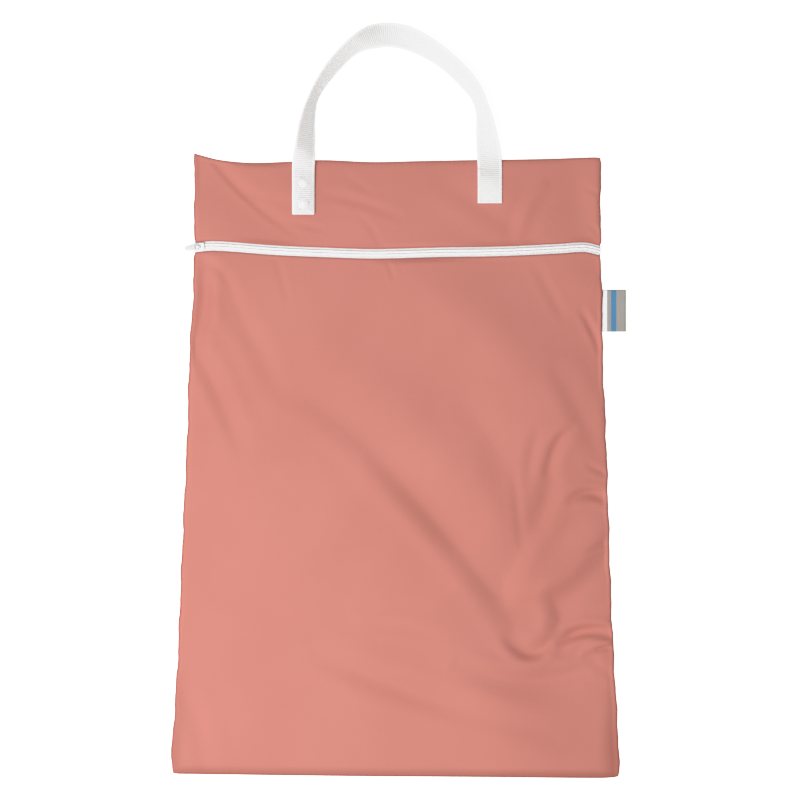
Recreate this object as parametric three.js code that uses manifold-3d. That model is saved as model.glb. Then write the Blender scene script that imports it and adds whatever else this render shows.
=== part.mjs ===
// Cloth diaper wet bag, lying on its back on a flat surface.
// A flat zipped bag of coated knit cloth with a coil zip, a webbing handle held by two
// snaps and a seam, and a small folded tag in the right side seam.
// Millimetres, +Z up, the bag's top towards +Y. The origin is on the underside of the
// back panel, half way down the bag and on the middle of its top edge.

import * as THREE from 'three';
import { mergeVertices } from 'three/addons/utils/BufferGeometryUtils.js';
import Module from 'manifold-3d';

// Driving dimensions of the cloth body
const BAG_HEIGHT = 637;
const TOP_WIDTH = 421;
const BOTTOM_WIDTH = 463;
const EDGE_WAVE = 8.3; // rise of the top left corner over the straight top edge
const CORNER_ROUND = 9; // reach of the rounding at each corner
const CORNER_PULL = 0.22; // share of that reach by which the corner itself comes in
const CLOTH = 1; // wall of the coated knit
const CLEARANCE = 0.3; // between pieces that touch
const PUFF = 14; // rise of the front over the back at the middle
const ROLL_HEIGHT = 4; // the turned seam's roll of cloth
const ROLL_WIDTH = 7;
const FOLD_WIDTH = 30;
const FOLD_DEPTH = 2.6;

// Driving dimensions of the zip
const ZIP_DOWN = 88; // from the top edge to the zip's highest point
const ZIP_SAG = 8.3;
const ZIP_SHOW = 10; // strip that shows between the cloth edges
const TAPE = 1;
const TAPE_UNDER = 8; // each tape runs on below the cloth
const COIL_WIDTH = 2.85; // one half of the chain
const COIL_HEIGHT = 1.8;
const SLIDER_LENGTH = 11;
const SLIDER_WIDTH = 9;
const SLIDER_PLATE = 0.9;
const SLIDER_TAIL = 0.86; // width of its tail as a share of its nose
const DIVIDER_WIDTH = 2.4;
const DIVIDER_LENGTH = 2.5;
const BRIDGE_WIDTH = 2.4;
const BRIDGE_INSIDE = 1.5; // radius of the space below the bridge
const BRIDGE_WALL = 1.1;
const BRIDGE_FORWARD = 1; // the bridge sits this far towards the nose
const PULL_LENGTH = 13.8; // from the hinge to the tip
const PULL_ROOT_WIDTH = 7.2;
const PULL_TIP_WIDTH = 5;
const PULL_THICK = 1.2;
const PULL_RIB = 0.3;
const PULL_RIB_PITCH = 2.4;

// Driving dimensions of the handle and its snaps
const STRAP_WIDTH = 25.4;
const STRAP_THICK = 1.5;
const STRAP_SPREAD = 192.8; // between the middles of the two legs
const STRAP_RISE = 130.4; // middle of the webbing over the top edge at the top of the arch
const STRAP_SHIFT = -0.9; // the handle sits a little to the left of the middle
const LEFT_LEG = 55.9; // end of the leg below the top edge
const RIGHT_LEG = 44;
const STRAP_LAND = 45; // beyond the top edge the webbing comes down to the surface in this
const STRAP_TWIST_LIFT = 0.5; // share of the tilted edge's drop by which the leg rises there
const SNAP_PITCH = 21.4;
const SNAP_DOWN = 23; // from the top edge to the upper snap
const SNAP_CAP = 12.4;
const SNAP_CAP_HEIGHT = 1.9;
const SNAP_BODY = 9;
const SNAP_BODY_HEIGHT = 2.4;
const SNAP_BACK = 11;
const SNAP_BACK_HEIGHT = 1;
const SNAP_POST = 2.4;

// Driving dimensions of the side tag
const TAG_HEIGHT = 43.5;
const TAG_OUT = 24.5; // sticks out of the seam
const TAG_IN = 6; // caught in the seam
const TAG_DOWN = 155; // from the top edge to the tag's middle
const TAG_LAYER = 1;
const TAG_OPEN = 0.8; // space between its two layers

// How far each side stands out from the top width on its way down, as shares of the flare
const FLARE = [
  { down: 0.0, left: 0.0, right: 0.0 },
  { down: 0.16, left: 0.0, right: 0.0 },
  { down: 0.23, left: 0.03, right: 0.03 },
  { down: 0.33, left: 0.12, right: 0.05 },
  { down: 0.45, left: 0.17, right: 0.13 },
  { down: 0.58, left: 0.26, right: 0.19 },
  { down: 0.72, left: 0.35, right: 0.26 },
  { down: 0.83, left: 0.42, right: 0.34 },
  { down: 0.92, left: 0.51, right: 0.42 },
  { down: 0.966, left: 0.56, right: 0.45 },
  { down: 1.0, left: 0.55, right: 0.45 },
];

// Height of the top edge over its straight line, as shares of the edge wave
const TOP_EDGE = [
  { across: -1.0, up: 1.05 },
  { across: -0.965, up: 0.72 },
  { across: -0.87, up: 0.12 },
  { across: -0.72, up: -0.22 },
  { across: -0.55, up: -0.1 },
  { across: -0.37, up: 0.12 },
  { across: -0.13, up: -0.12 },
  { across: 0.11, up: 0.0 },
  { across: 0.36, up: 0.12 },
  { across: 0.7, up: 0.25 },
  { across: 1.0, up: 0.5 },
];

// Drop of the bottom edge below its straight line, as shares of the edge wave
const BOTTOM_EDGE = [
  { across: -1.0, drop: -0.34 },
  { across: -0.87, drop: -0.3 },
  { across: -0.56, drop: -0.18 },
  { across: -0.16, drop: -0.05 },
  { across: 0.38, drop: 0.06 },
  { across: 0.91, drop: 0.19 },
  { across: 1.0, drop: 0.08 },
];

// Course of the zip below its highest point, as shares of the sag
const ZIP_LINE = [
  { across: -1.0, drop: 0.19 },
  { across: -0.9, drop: 0.0 },
  { across: -0.6, drop: 0.55 },
  { across: -0.3, drop: 0.88 },
  { across: -0.1, drop: 1.0 },
  { across: 0.2, drop: 0.81 },
  { across: 0.5, drop: 0.69 },
  { across: 0.8, drop: 0.34 },
  { across: 0.92, drop: 0.17 },
  { across: 1.0, drop: 0.56 },
];

// Rise of the front over the back on the way down, as shares of the puff
const PUFF_DOWN = [
  { down: 0.0, puff: 0.0 },
  { down: 0.05, puff: 0.22 },
  { down: 0.14, puff: 0.36 },
  { down: 0.3, puff: 0.75 },
  { down: 0.55, puff: 1.0 },
  { down: 0.8, puff: 0.86 },
  { down: 0.94, puff: 0.42 },
  { down: 1.0, puff: 0.0 },
];
const PUFF_POWER = 2.2; // flatness of the front from side to side

// Folds from a start over a bend to an end: across is 0 on the middle line and 1 at the
// side, down is 0 at the top edge and 1 at the bottom. A negative depth is a ridge.
const FOLDS = [
  { name: 'corner', from: [-0.92, 0.0], bend: [-0.79, 0.05], to: [-0.53, 0.12], width: 0.55, depth: 0.5 },
  { name: 'header', from: [0.6, 0.075], bend: [0.6, 0.1], to: [0.6, 0.125], width: 0.5, depth: -0.25 },
  { name: 'slider', from: [-0.96, 0.17], bend: [-0.92, 0.19], to: [-0.86, 0.225], width: 0.5, depth: 0.4 },
  { name: 'zip', from: [-0.09, 0.175], bend: [-0.04, 0.168], to: [0.02, 0.178], width: 0.35, depth: 0.25 },
  { name: 'tag', from: [0.89, 0.25], bend: [0.94, 0.28], to: [0.985, 0.307], width: 0.35, depth: 0.45 },
  { name: 'vee', from: [0.785, 0.445], bend: [0.72, 0.474], to: [0.64, 0.465], width: 0.4, depth: 0.3 },
  { name: 'edge_1', from: [0.87, 0.497], bend: [0.92, 0.503], to: [0.98, 0.507], width: 0.25, depth: 0.35 },
  { name: 'edge_2', from: [0.86, 0.536], bend: [0.92, 0.545], to: [0.98, 0.551], width: 0.3, depth: 0.45 },
  { name: 'valley_1', from: [-0.255, 0.437], bend: [0.03, 0.52], to: [0.19, 0.63], width: 0.7, depth: 0.45 },
  { name: 'valley_2', from: [0.13, 0.595], bend: [0.34, 0.71], to: [0.62, 0.79], width: 0.6, depth: 1.0 },
  { name: 'hook', from: [0.59, 0.79], bend: [0.72, 0.755], to: [0.68, 0.7], width: 0.45, depth: 0.7 },
  { name: 'lump', from: [0.52, 0.672], bend: [0.56, 0.713], to: [0.6, 0.765], width: 0.5, depth: -0.45 },
  { name: 'edge_3', from: [0.84, 0.774], bend: [0.92, 0.768], to: [0.98, 0.76], width: 0.25, depth: 0.5 },
  { name: 'edge_4', from: [0.84, 0.776], bend: [0.92, 0.785], to: [0.98, 0.79], width: 0.25, depth: 0.5 },
  { name: 'swell_1', from: [0.455, 0.856], bend: [0.63, 0.868], to: [0.8, 0.848], width: 0.55, depth: 0.45 },
  { name: 'swell_2', from: [0.36, 0.9], bend: [0.45, 0.915], to: [0.56, 0.93], width: 0.45, depth: 0.3 },
];

// The arch of the handle between its legs: across is a share of half the spread, up a
// share of the rise, and tilt the degrees by which the outer edge stands up.
const ARCH = [
  { across: -1.0, up: -0.06, tilt: 0 },
  { across: -0.993, up: 0.03, tilt: 16 },
  { across: -0.984, up: 0.1, tilt: 34 },
  { across: -0.973, up: 0.198, tilt: 42 },
  { across: -0.962, up: 0.294, tilt: 50 },
  { across: -0.937, up: 0.389, tilt: 59 },
  { across: -0.9, up: 0.484, tilt: 66 },
  { across: -0.838, up: 0.579, tilt: 65 },
  { across: -0.753, up: 0.675, tilt: 60 },
  { across: -0.63, up: 0.79, tilt: 55 },
  { across: -0.501, up: 0.885, tilt: 51 },
  { across: -0.393, up: 0.94, tilt: 40 },
  { across: -0.286, up: 0.976, tilt: 20 },
  { across: -0.179, up: 0.996, tilt: 4 },
  { across: -0.071, up: 1.0, tilt: 0 },
  { across: 0.036, up: 0.988, tilt: 5 },
  { across: 0.143, up: 0.964, tilt: 17 },
  { across: 0.3, up: 0.908, tilt: 32 },
  { across: 0.466, up: 0.829, tilt: 41 },
  { across: 0.62, up: 0.736, tilt: 45 },
  { across: 0.756, up: 0.63, tilt: 48 },
  { across: 0.852, up: 0.532, tilt: 56 },
  { across: 0.906, up: 0.437, tilt: 58 },
  { across: 0.934, up: 0.37, tilt: 53 },
  { across: 0.95, up: 0.294, tilt: 43 },
  { across: 0.966, up: 0.198, tilt: 31 },
  { across: 0.982, up: 0.103, tilt: 15 },
  { across: 0.995, up: 0.015, tilt: 2 },
  { across: 1.0, up: -0.06, tilt: 0 },
];

// Grid counts of the faceted cloth
const COLUMNS = 34;
const FRONT_ROWS = 32;
const HEADER_ROWS = 7;
const SEAM_STOPS = [0, 0.16, 0.5, 1]; // shares of the seam's roll
const RIGHT_CROWDING = 0.1; // shifts the columns towards the folds on the right
const NORMAL_STEP = 0.002; // share of the bag over which a wall's lean is measured
const OUTLINE_STEPS = 28;
const STEPS_PER_ARCH_ROW = 2;
const LEG_STEPS = 5;
const ROUND_SIDES = 16;

const { clamp, lerp, smoothstep, degToRad } = THREE.MathUtils;
const wasm = await Module();
wasm.setup();

// Reads a table's column between its rows, by a smooth curve through them
function read(rows, key, at, name) {
  const last = rows.length - 1;
  const spot = clamp(at, rows[0][key], rows[last][key]);
  let i = 0;
  while (i < last - 1 && spot > rows[i + 1][key]) i += 1;
  const before = rows[Math.max(i - 1, 0)];
  const a = rows[i];
  const b = rows[i + 1];
  const after = rows[Math.min(i + 2, last)];
  const span = b[key] - a[key];
  const slopeA = ((b[name] - before[name]) / (b[key] - before[key])) * span;
  const slopeB = ((after[name] - a[name]) / (after[key] - a[key])) * span;
  const t = (spot - a[key]) / span;
  const t2 = t * t;
  const t3 = t2 * t;
  return (2 * t3 - 3 * t2 + 1) * a[name] + (t3 - 2 * t2 + t) * slopeA
    + (3 * t2 - 2 * t3) * b[name] + (t3 - t2) * slopeB;
}

// The bag's plan: u runs from -1 at the left seam to 1 at the right, v from 0 at the top
// edge to 1 at the bottom seam.
const flare = BOTTOM_WIDTH - TOP_WIDTH;
const leftX = (v) => -TOP_WIDTH / 2 - flare * read(FLARE, 'down', v, 'left');
const rightX = (v) => TOP_WIDTH / 2 + flare * read(FLARE, 'down', v, 'right');
const topY = (u) => BAG_HEIGHT / 2 + EDGE_WAVE * read(TOP_EDGE, 'across', u, 'up');
const bottomY = (u) => -BAG_HEIGHT / 2 - EDGE_WAVE * read(BOTTOM_EDGE, 'across', u, 'drop');
const planX = (u, v) => lerp(leftX(v), rightX(v), (u + 1) / 2);
const planY = (u, v) => lerp(topY(u), bottomY(u), v);
const downAt = (u, y) => (topY(u) - y) / (topY(u) - bottomY(u));
const zipY = (u) => BAG_HEIGHT / 2 - ZIP_DOWN - ZIP_SAG * read(ZIP_LINE, 'across', u, 'drop');
const acrossAt = (x, v) => ((x - leftX(v)) / (rightX(v) - leftX(v))) * 2 - 1;

// Corners are pulled in along their diagonal
function plan(u, v) {
  const x = planX(u, v);
  const y = planY(u, v);
  const sideGap = (1 - Math.abs(u)) * (rightX(v) - leftX(v)) / 2;
  const endGap = Math.min(v, 1 - v) * BAG_HEIGHT;
  const near = Math.max(0, 1 - (sideGap + endGap) / CORNER_ROUND);
  const pull = near * near * CORNER_ROUND * CORNER_PULL;
  return { x: x - Math.sign(u) * pull, y: y + (v > 0.5 ? pull : -pull), sideGap, endGap };
}

// What is caught in the side seams lifts the front's edge there
const tapeReach = ZIP_SHOW / 2 + TAPE_UNDER;
const CAUGHT = [
  { side: -1, y: zipY(-1), half: tapeReach, lift: SLIDER_PLATE + TAPE + 2 * CLEARANCE, flat: 1 },
  { side: 1, y: zipY(1), half: tapeReach, lift: TAPE + CLEARANCE, flat: 1 },
  { side: 1, y: BAG_HEIGHT / 2 - TAG_DOWN, half: TAG_HEIGHT / 2, lift: TAG_LAYER + CLEARANCE, flat: 0 },
];
const CAUGHT_MARGIN = 2;
const CAUGHT_BLEND = 14;
const CAUGHT_REACH = 30;

function caughtAt(u, y, sideGap) {
  const found = { lift: 0, flat: 0 };
  for (const { side, y: at, half, lift, flat } of CAUGHT) {
    if (side * u <= 0) continue;
    const start = half + CAUGHT_MARGIN;
    const beside = 1 - smoothstep(Math.abs(y - at), start, start + CAUGHT_BLEND);
    const share = beside * Math.exp(-((sideGap / CAUGHT_REACH) ** 2));
    found.lift += lift * share;
    found.flat += flat * share;
  }
  return found;
}

// Depth of all the folds at one place: the distance to each fold's curve sets its profile,
// a valley with a low ridge on either side
const FOLD_STEPS = 14;
const VALLEY_NARROWNESS = 3;
const RIDGE_SHARE = 0.3;
const RIDGE_OUT = 1.2; // its distance from the fold's curve, in fold widths
const RIDGE_NARROWNESS = 4;
const foldCurves = FOLDS.map((fold) => {
  const ends = [fold.from, fold.bend, fold.to];
  const [a, b, c] = ends.map(([u, v]) => new THREE.Vector2(planX(u, v), planY(u, v)));
  const curve = new THREE.QuadraticBezierCurve(a, b, c);
  return { ...fold, points: curve.getPoints(FOLD_STEPS) };
});

function foldDepth(x, y) {
  let sum = 0;
  const here = new THREE.Vector2(x, y);
  for (const { points, width, depth } of foldCurves) {
    let best = Infinity;
    let bestAt = 0;
    points.forEach((point, i) => {
      const gap = point.distanceTo(here);
      if (gap < best) {
        best = gap;
        bestAt = i / FOLD_STEPS;
      }
    });
    const s = best / (width * FOLD_WIDTH);
    const ends = Math.sqrt(Math.sin(Math.PI * clamp(bestAt, 0.02, 0.98)));
    const valley = Math.exp(-VALLEY_NARROWNESS * s * s);
    const ridge = RIDGE_SHARE * Math.exp(-RIDGE_NARROWNESS * (s - RIDGE_OUT) ** 2);
    const profile = valley - ridge;
    sum += depth * FOLD_DEPTH * ends * profile;
  }
  return sum;
}

// Height of the front's outer face
const roll = (gap) => Math.sqrt(1 - (1 - clamp(gap / ROLL_WIDTH, 0, 1)) ** 2);
const FOLD_FADE = 12;

function skin(u, v) {
  const { x, y, sideGap, endGap } = plan(u, v);
  const caught = caughtAt(u, y, sideGap);
  const rolled = ROLL_HEIGHT * roll(sideGap) * roll(endGap);
  const puff = PUFF * read(PUFF_DOWN, 'down', v, 'puff') * (1 - Math.abs(u) ** PUFF_POWER);
  const fromZip = Math.max(0, Math.abs(y - zipY(u)) - tapeReach);
  const inside = Math.min(sideGap, endGap, fromZip);
  const fade = smoothstep(inside, 0, FOLD_FADE);
  return CLOTH + CLEARANCE + caught.lift + caught.flat * CLOTH
    + (1 - caught.flat) * rolled + puff - fade * foldDepth(x, y);
}

// The lowest place of the front sheet's edge, clear of the back panel and of what is caught
function rimFloor(u, v) {
  const { y, sideGap } = plan(u, v);
  return CLOTH + CLEARANCE + caughtAt(u, y, sideGap).lift;
}

// A closed sheet from a grid of outer points and a grid of inner points
function closedSheet(outer, inner) {
  const rows = outer.length;
  const columns = outer[0].length;
  const positions = [];
  for (const grid of [outer, inner]) {
    for (const row of grid) {
      for (const point of row) positions.push(point.x, point.y, point.z);
    }
  }
  const top = (j, i) => j * columns + i;
  const under = (j, i) => rows * columns + j * columns + i;
  const index = [];
  const quad = (a, b, c, d) => index.push(a, b, c, a, c, d);
  for (let j = 0; j < rows - 1; j += 1) {
    for (let i = 0; i < columns - 1; i += 1) {
      quad(top(j, i), top(j + 1, i), top(j + 1, i + 1), top(j, i + 1));
      quad(under(j, i), under(j, i + 1), under(j + 1, i + 1), under(j + 1, i));
    }
  }
  for (let i = 0; i < columns - 1; i += 1) {
    quad(top(0, i), top(0, i + 1), under(0, i + 1), under(0, i));
    quad(top(rows - 1, i + 1), top(rows - 1, i), under(rows - 1, i), under(rows - 1, i + 1));
  }
  for (let j = 0; j < rows - 1; j += 1) {
    quad(top(j + 1, 0), top(j, 0), under(j, 0), under(j + 1, 0));
    const end = columns - 1;
    quad(top(j, end), top(j + 1, end), under(j + 1, end), under(j, end));
  }
  const geometry = new THREE.BufferGeometry();
  geometry.setAttribute('position', new THREE.Float32BufferAttribute(positions, 3));
  geometry.setIndex(index);
  geometry.computeVertexNormals();
  return geometry;
}

// Columns across the bag: three close ones on each seam's roll, the rest evened out with
// more of them on the right, where the folds are
function columnStops() {
  const half = TOP_WIDTH / 2;
  const seam = SEAM_STOPS.map((share) => (share * ROLL_WIDTH) / half);
  const inner = COLUMNS - 2 * (seam.length - 1);
  const stops = seam.map((gap) => -1 + gap);
  for (let i = 1; i < inner; i += 1) {
    const t = i / inner;
    const shifted = t + RIGHT_CROWDING * Math.sin(Math.PI * t);
    stops.push(lerp(-1 + seam[3], 1 - seam[3], shifted));
  }
  return stops.concat(seam.map((gap) => 1 - gap).reverse());
}

// Rows of a panel of a given length from its seam to the zip: close ones on the seam's roll,
// plain steps, and one over the end of the zip's tape
function rowStops(count, length, seamLast) {
  const seam = SEAM_STOPS.slice(0, -1).map((share) => (share * ROLL_WIDTH) / length);
  const first = ROLL_WIDTH / length;
  const last = 1 - TAPE_UNDER / length;
  const stops = [];
  for (let i = 0; i <= count; i += 1) stops.push(lerp(first, last, i / count));
  const fromSeam = [...seam, ...stops, 1];
  return seamLast ? fromSeam.map((w) => 1 - w).reverse() : fromSeam;
}

// One front sheet between two lines across the bag, both given as v by u
function frontSheet(startV, endV, rows) {
  const columns = columnStops();
  const vAt = (u, w) => lerp(startV(u), endV(u), w);
  const point = (u, v) => {
    const { x, y } = plan(u, v);
    return new THREE.Vector3(x, y, skin(u, v));
  };
  const outer = rows.map((w) => columns.map((u) => point(u, vAt(u, w))));
  const inner = rows.map((w) => columns.map((u) => {
    const v = vAt(u, w);
    const right = point(Math.min(u + NORMAL_STEP, 1), v);
    const left = point(Math.max(u - NORMAL_STEP, -1), v);
    const above = point(u, Math.max(v - NORMAL_STEP, 0));
    const below = point(u, Math.min(v + NORMAL_STEP, 1));
    const along = right.sub(left);
    const down = below.sub(above);
    const normal = down.cross(along).normalize();
    const spot = point(u, v).addScaledVector(normal, -CLOTH);
    spot.z = Math.max(spot.z, rimFloor(u, v));
    return spot;
  }));
  return closedSheet(outer, inner);
}

// Joins and cuts of closed meshes
function solid(geometry) {
  const bare = geometry.clone();
  bare.deleteAttribute('normal');
  bare.deleteAttribute('uv');
  const merged = mergeVertices(bare, 1e-4);
  const mesh = new wasm.Mesh({
    numProp: 3,
    vertProperties: Float32Array.from(merged.attributes.position.array),
    triVerts: Uint32Array.from(merged.index.array),
  });
  return new wasm.Manifold(mesh);
}

function geometryOf(body) {
  const mesh = body.getMesh();
  const geometry = new THREE.BufferGeometry();
  geometry.setAttribute('position', new THREE.BufferAttribute(mesh.vertProperties, 3));
  geometry.setIndex(new THREE.BufferAttribute(mesh.triVerts, 1));
  geometry.computeVertexNormals();
  return geometry;
}

const finish = (color, roughness) => new THREE.MeshStandardMaterial({ color, roughness, metalness: 0 });
const coral = finish(0xd98f80, 0.62);
const white = finish(0xf2f2f0, 0.6);

const bag = new THREE.Group();

function piece(name, geometry, material) {
  const mesh = new THREE.Mesh(geometry, material.clone());
  mesh.name = name;
  return mesh;
}

// Back panel: one flat sheet to the seams all round
function backPanel() {
  const outline = [];
  const sides = [
    (t) => plan(lerp(-1, 1, t), 1),
    (t) => plan(1, lerp(1, 0, t)),
    (t) => plan(lerp(1, -1, t), 0),
    (t) => plan(-1, lerp(0, 1, t)),
  ];
  // Steps bunch up towards the corners, where the outline rounds
  for (const side of sides) {
    for (let i = 0; i < OUTLINE_STEPS; i += 1) {
      const { x, y } = side((1 - Math.cos((Math.PI * i) / OUTLINE_STEPS)) / 2);
      outline.push(new THREE.Vector2(x, y));
    }
  }
  return new THREE.ExtrudeGeometry(new THREE.Shape(outline), { depth: CLOTH, bevelEnabled: false });
}

// The snaps hold the left leg off the header by their body's height
const LEGS = [
  { side: -1, below: LEFT_LEG, over: CLEARANCE + SNAP_BODY_HEIGHT + CLEARANCE },
  { side: 1, below: RIGHT_LEG, over: CLEARANCE },
];
const snapX = STRAP_SHIFT - STRAP_SPREAD / 2;
const SNAPS = [
  { name: 'snap_upper', y: BAG_HEIGHT / 2 - SNAP_DOWN },
  { name: 'snap_lower', y: BAG_HEIGHT / 2 - SNAP_DOWN - SNAP_PITCH },
];

function skinAt(x, y) {
  const v = downAt(acrossAt(x, 0), y);
  const u = acrossAt(x, clamp(v, 0, 1));
  return skin(u, clamp(downAt(u, y), 0, 1));
}

// The place and lean of a piece that sits on the skin
function seatOn(x, y) {
  const reach = SNAP_BODY / 2;
  const slopeX = (skinAt(x + reach, y) - skinAt(x - reach, y)) / (2 * reach);
  const slopeY = (skinAt(x, y + reach) - skinAt(x, y - reach)) / (2 * reach);
  const up = new THREE.Vector3(-slopeX, -slopeY, 1).normalize();
  const turn = new THREE.Quaternion().setFromUnitVectors(new THREE.Vector3(0, 0, 1), up);
  const spot = new THREE.Vector3(x, y, skinAt(x, y));
  return new THREE.Matrix4().compose(spot, turn, new THREE.Vector3(1, 1, 1));
}

// The hole for a snap's post, between two heights over the skin
function postHole(y, low, high) {
  const radius = SNAP_POST / 2 + CLEARANCE;
  const geometry = new THREE.CylinderGeometry(radius, radius, high - low, ROUND_SIDES);
  geometry.rotateX(Math.PI / 2);
  geometry.translate(0, 0, (low + high) / 2);
  geometry.applyMatrix4(seatOn(snapX, y));
  return solid(geometry);
}

// Header: the front cloth above the zip, with a hole for each snap's post
function headerPanel() {
  const endV = (u) => downAt(u, zipY(u) + ZIP_SHOW / 2);
  const length = ZIP_DOWN - ZIP_SHOW / 2;
  let body = solid(frontSheet(() => 0, endV, rowStops(HEADER_ROWS, length, false)));
  for (const { y } of SNAPS) body = body.subtract(postHole(y, -2 * CLOTH, CLOTH));
  return geometryOf(body);
}

// Front: the cloth below the zip
function frontPanel() {
  const startV = (u) => downAt(u, zipY(u) - ZIP_SHOW / 2);
  const length = BAG_HEIGHT - ZIP_DOWN - ZIP_SHOW / 2;
  return frontSheet(startV, () => 1, rowStops(FRONT_ROWS, length, true));
}

// Zip tapes: one above and one below the zip's line, under the cloth on either side
const tapeDrop = CLOTH + CLEARANCE;
const tapeInner = DIVIDER_WIDTH / 2 + CLEARANCE;

function zipTape(side) {
  const columns = columnStops();
  const offsets = [tapeInner, ZIP_SHOW / 2, tapeReach].map((offset) => side * offset);
  offsets.sort((a, b) => b - a);
  const grid = (drop) => offsets.map((offset) => columns.map((u) => {
    const y = zipY(u) + offset;
    const v = downAt(u, y);
    return new THREE.Vector3(planX(u, v), y, skin(u, v) - drop);
  }));
  return closedSheet(grid(tapeDrop), grid(tapeDrop + TAPE));
}

// Each half of the closed coil: a low rounded bead along the middle of the zip
const sliderLeft = leftX(downAt(-1, zipY(-1)));
const coilStart = sliderLeft + DIVIDER_LENGTH + CLEARANCE;
const COIL_SECTION = [
  { out: 0.0, up: 0.0 },
  { out: 0.0, up: 0.55 },
  { out: 0.3, up: 1.0 },
  { out: 0.75, up: 1.0 },
  { out: 1.0, up: 0.55 },
  { out: 1.0, up: 0.0 },
];

function zipCoil(side) {
  const v0 = downAt(-1, zipY(-1));
  const startU = acrossAt(coilStart, v0);
  const endU = 1 - (2 * CLEARANCE) / (TOP_WIDTH / 2);
  const between = columnStops().filter((u) => u > startU + 0.01 && u < endU - 0.001);
  const stops = [startU, ...between, endU];
  const sections = stops.map((u) => COIL_SECTION.map(({ out, up }) => {
    const y = zipY(u) + side * (CLEARANCE / 2 + out * COIL_WIDTH);
    const v = downAt(u, zipY(u));
    const base = skin(u, v) - tapeDrop + CLEARANCE / 2;
    return new THREE.Vector3(planX(u, v), y, base + up * COIL_HEIGHT);
  }));
  return sweptSections(sections, side > 0);
}

// A closed body through sections of equal count, capped at both ends
function sweptSections(sections, flipped) {
  const count = sections[0].length;
  const positions = sections.flat().flatMap((point) => [point.x, point.y, point.z]);
  const index = [];
  const face = (a, b, c) => (flipped ? index.push(a, c, b) : index.push(a, b, c));
  for (let j = 0; j < sections.length - 1; j += 1) {
    for (let i = 0; i < count; i += 1) {
      const a = j * count + i;
      const b = j * count + ((i + 1) % count);
      face(a, b, b + count);
      face(a, b + count, a + count);
    }
  }
  const last = (sections.length - 1) * count;
  for (let i = 1; i < count - 1; i += 1) {
    face(0, i + 1, i);
    face(last, last + i, last + i + 1);
  }
  const geometry = new THREE.BufferGeometry();
  geometry.setAttribute('position', new THREE.Float32BufferAttribute(positions, 3));
  geometry.setIndex(index);
  geometry.computeVertexNormals();
  return geometry;
}

// Slider: two plates round the chain, joined at the nose by the divider, with flanges down
// the sides and a round bridge on top. Its own frame has x along the zip to the right and
// z = 0 on top of the tapes, at the middle of its length.
const plateUnder = COIL_HEIGHT + 2 * CLEARANCE;
const plateTop = plateUnder + SLIDER_PLATE;
const sliderFloor = -TAPE - CLEARANCE - SLIDER_PLATE;
const hingeUp = plateTop + CLEARANCE + PULL_THICK / 2;
const hingeX = -BRIDGE_FORWARD;

function sliderOutline() {
  const nose = -SLIDER_LENGTH / 2;
  const tail = SLIDER_LENGTH / 2;
  const half = SLIDER_WIDTH / 2;
  const waist = half * SLIDER_TAIL;
  const shape = new THREE.Shape();
  shape.moveTo(nose, -half * 0.6);
  shape.quadraticCurveTo(nose, -half, nose + half * 0.5, -half);
  shape.lineTo(tail - half * 0.3, -waist);
  shape.quadraticCurveTo(tail, -waist, tail, -waist * 0.7);
  shape.lineTo(tail, waist * 0.7);
  shape.quadraticCurveTo(tail, waist, tail - half * 0.3, waist);
  shape.lineTo(nose + half * 0.5, half);
  shape.quadraticCurveTo(nose, half, nose, half * 0.6);
  return shape;
}

function slab(shape, low, high) {
  const geometry = new THREE.ExtrudeGeometry(shape, {
    depth: high - low, bevelEnabled: false, curveSegments: 4,
  });
  geometry.translate(0, 0, low);
  return geometry;
}

function block(x0, x1, y0, y1, z0, z1) {
  const geometry = new THREE.BoxGeometry(x1 - x0, y1 - y0, z1 - z0);
  geometry.translate((x0 + x1) / 2, (y0 + y1) / 2, (z0 + z1) / 2);
  return solid(geometry);
}

function bridge() {
  const outer = BRIDGE_INSIDE + BRIDGE_WALL;
  const spring = PULL_THICK / 2;
  const sink = SLIDER_PLATE / 2;
  const shape = new THREE.Shape();
  shape.moveTo(-outer, -sink);
  shape.lineTo(-outer, spring);
  shape.absarc(0, spring, outer, Math.PI, 0, true);
  shape.lineTo(outer, -sink);
  shape.lineTo(BRIDGE_INSIDE, -sink);
  shape.lineTo(BRIDGE_INSIDE, spring);
  shape.absarc(0, spring, BRIDGE_INSIDE, 0, Math.PI, false);
  shape.lineTo(-BRIDGE_INSIDE, -sink);
  const geometry = new THREE.ExtrudeGeometry(shape, {
    depth: BRIDGE_WIDTH, bevelEnabled: false, curveSegments: 8,
  });
  geometry.rotateX(Math.PI / 2);
  geometry.translate(hingeX, BRIDGE_WIDTH / 2, plateTop);
  return solid(geometry);
}

function zipSlider() {
  const outline = sliderOutline();
  const nose = -SLIDER_LENGTH / 2;
  const flangeIn = COIL_WIDTH + CLEARANCE / 2 + CLEARANCE;
  const upper = solid(slab(outline, CLEARANCE, plateTop));
  const channel = block(nose - 1, SLIDER_LENGTH, -flangeIn, flangeIn, -1, plateUnder);
  const lower = solid(slab(outline, sliderFloor, sliderFloor + SLIDER_PLATE));
  const sink = SLIDER_PLATE / 2;
  const half = DIVIDER_WIDTH / 2;
  const inset = CLEARANCE;
  const divider = block(
    nose + inset, nose + DIVIDER_LENGTH, -half, half, sliderFloor + sink, plateTop - sink,
  );
  return geometryOf(upper.subtract(channel).add(lower).add(divider).add(bridge()));
}

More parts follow.
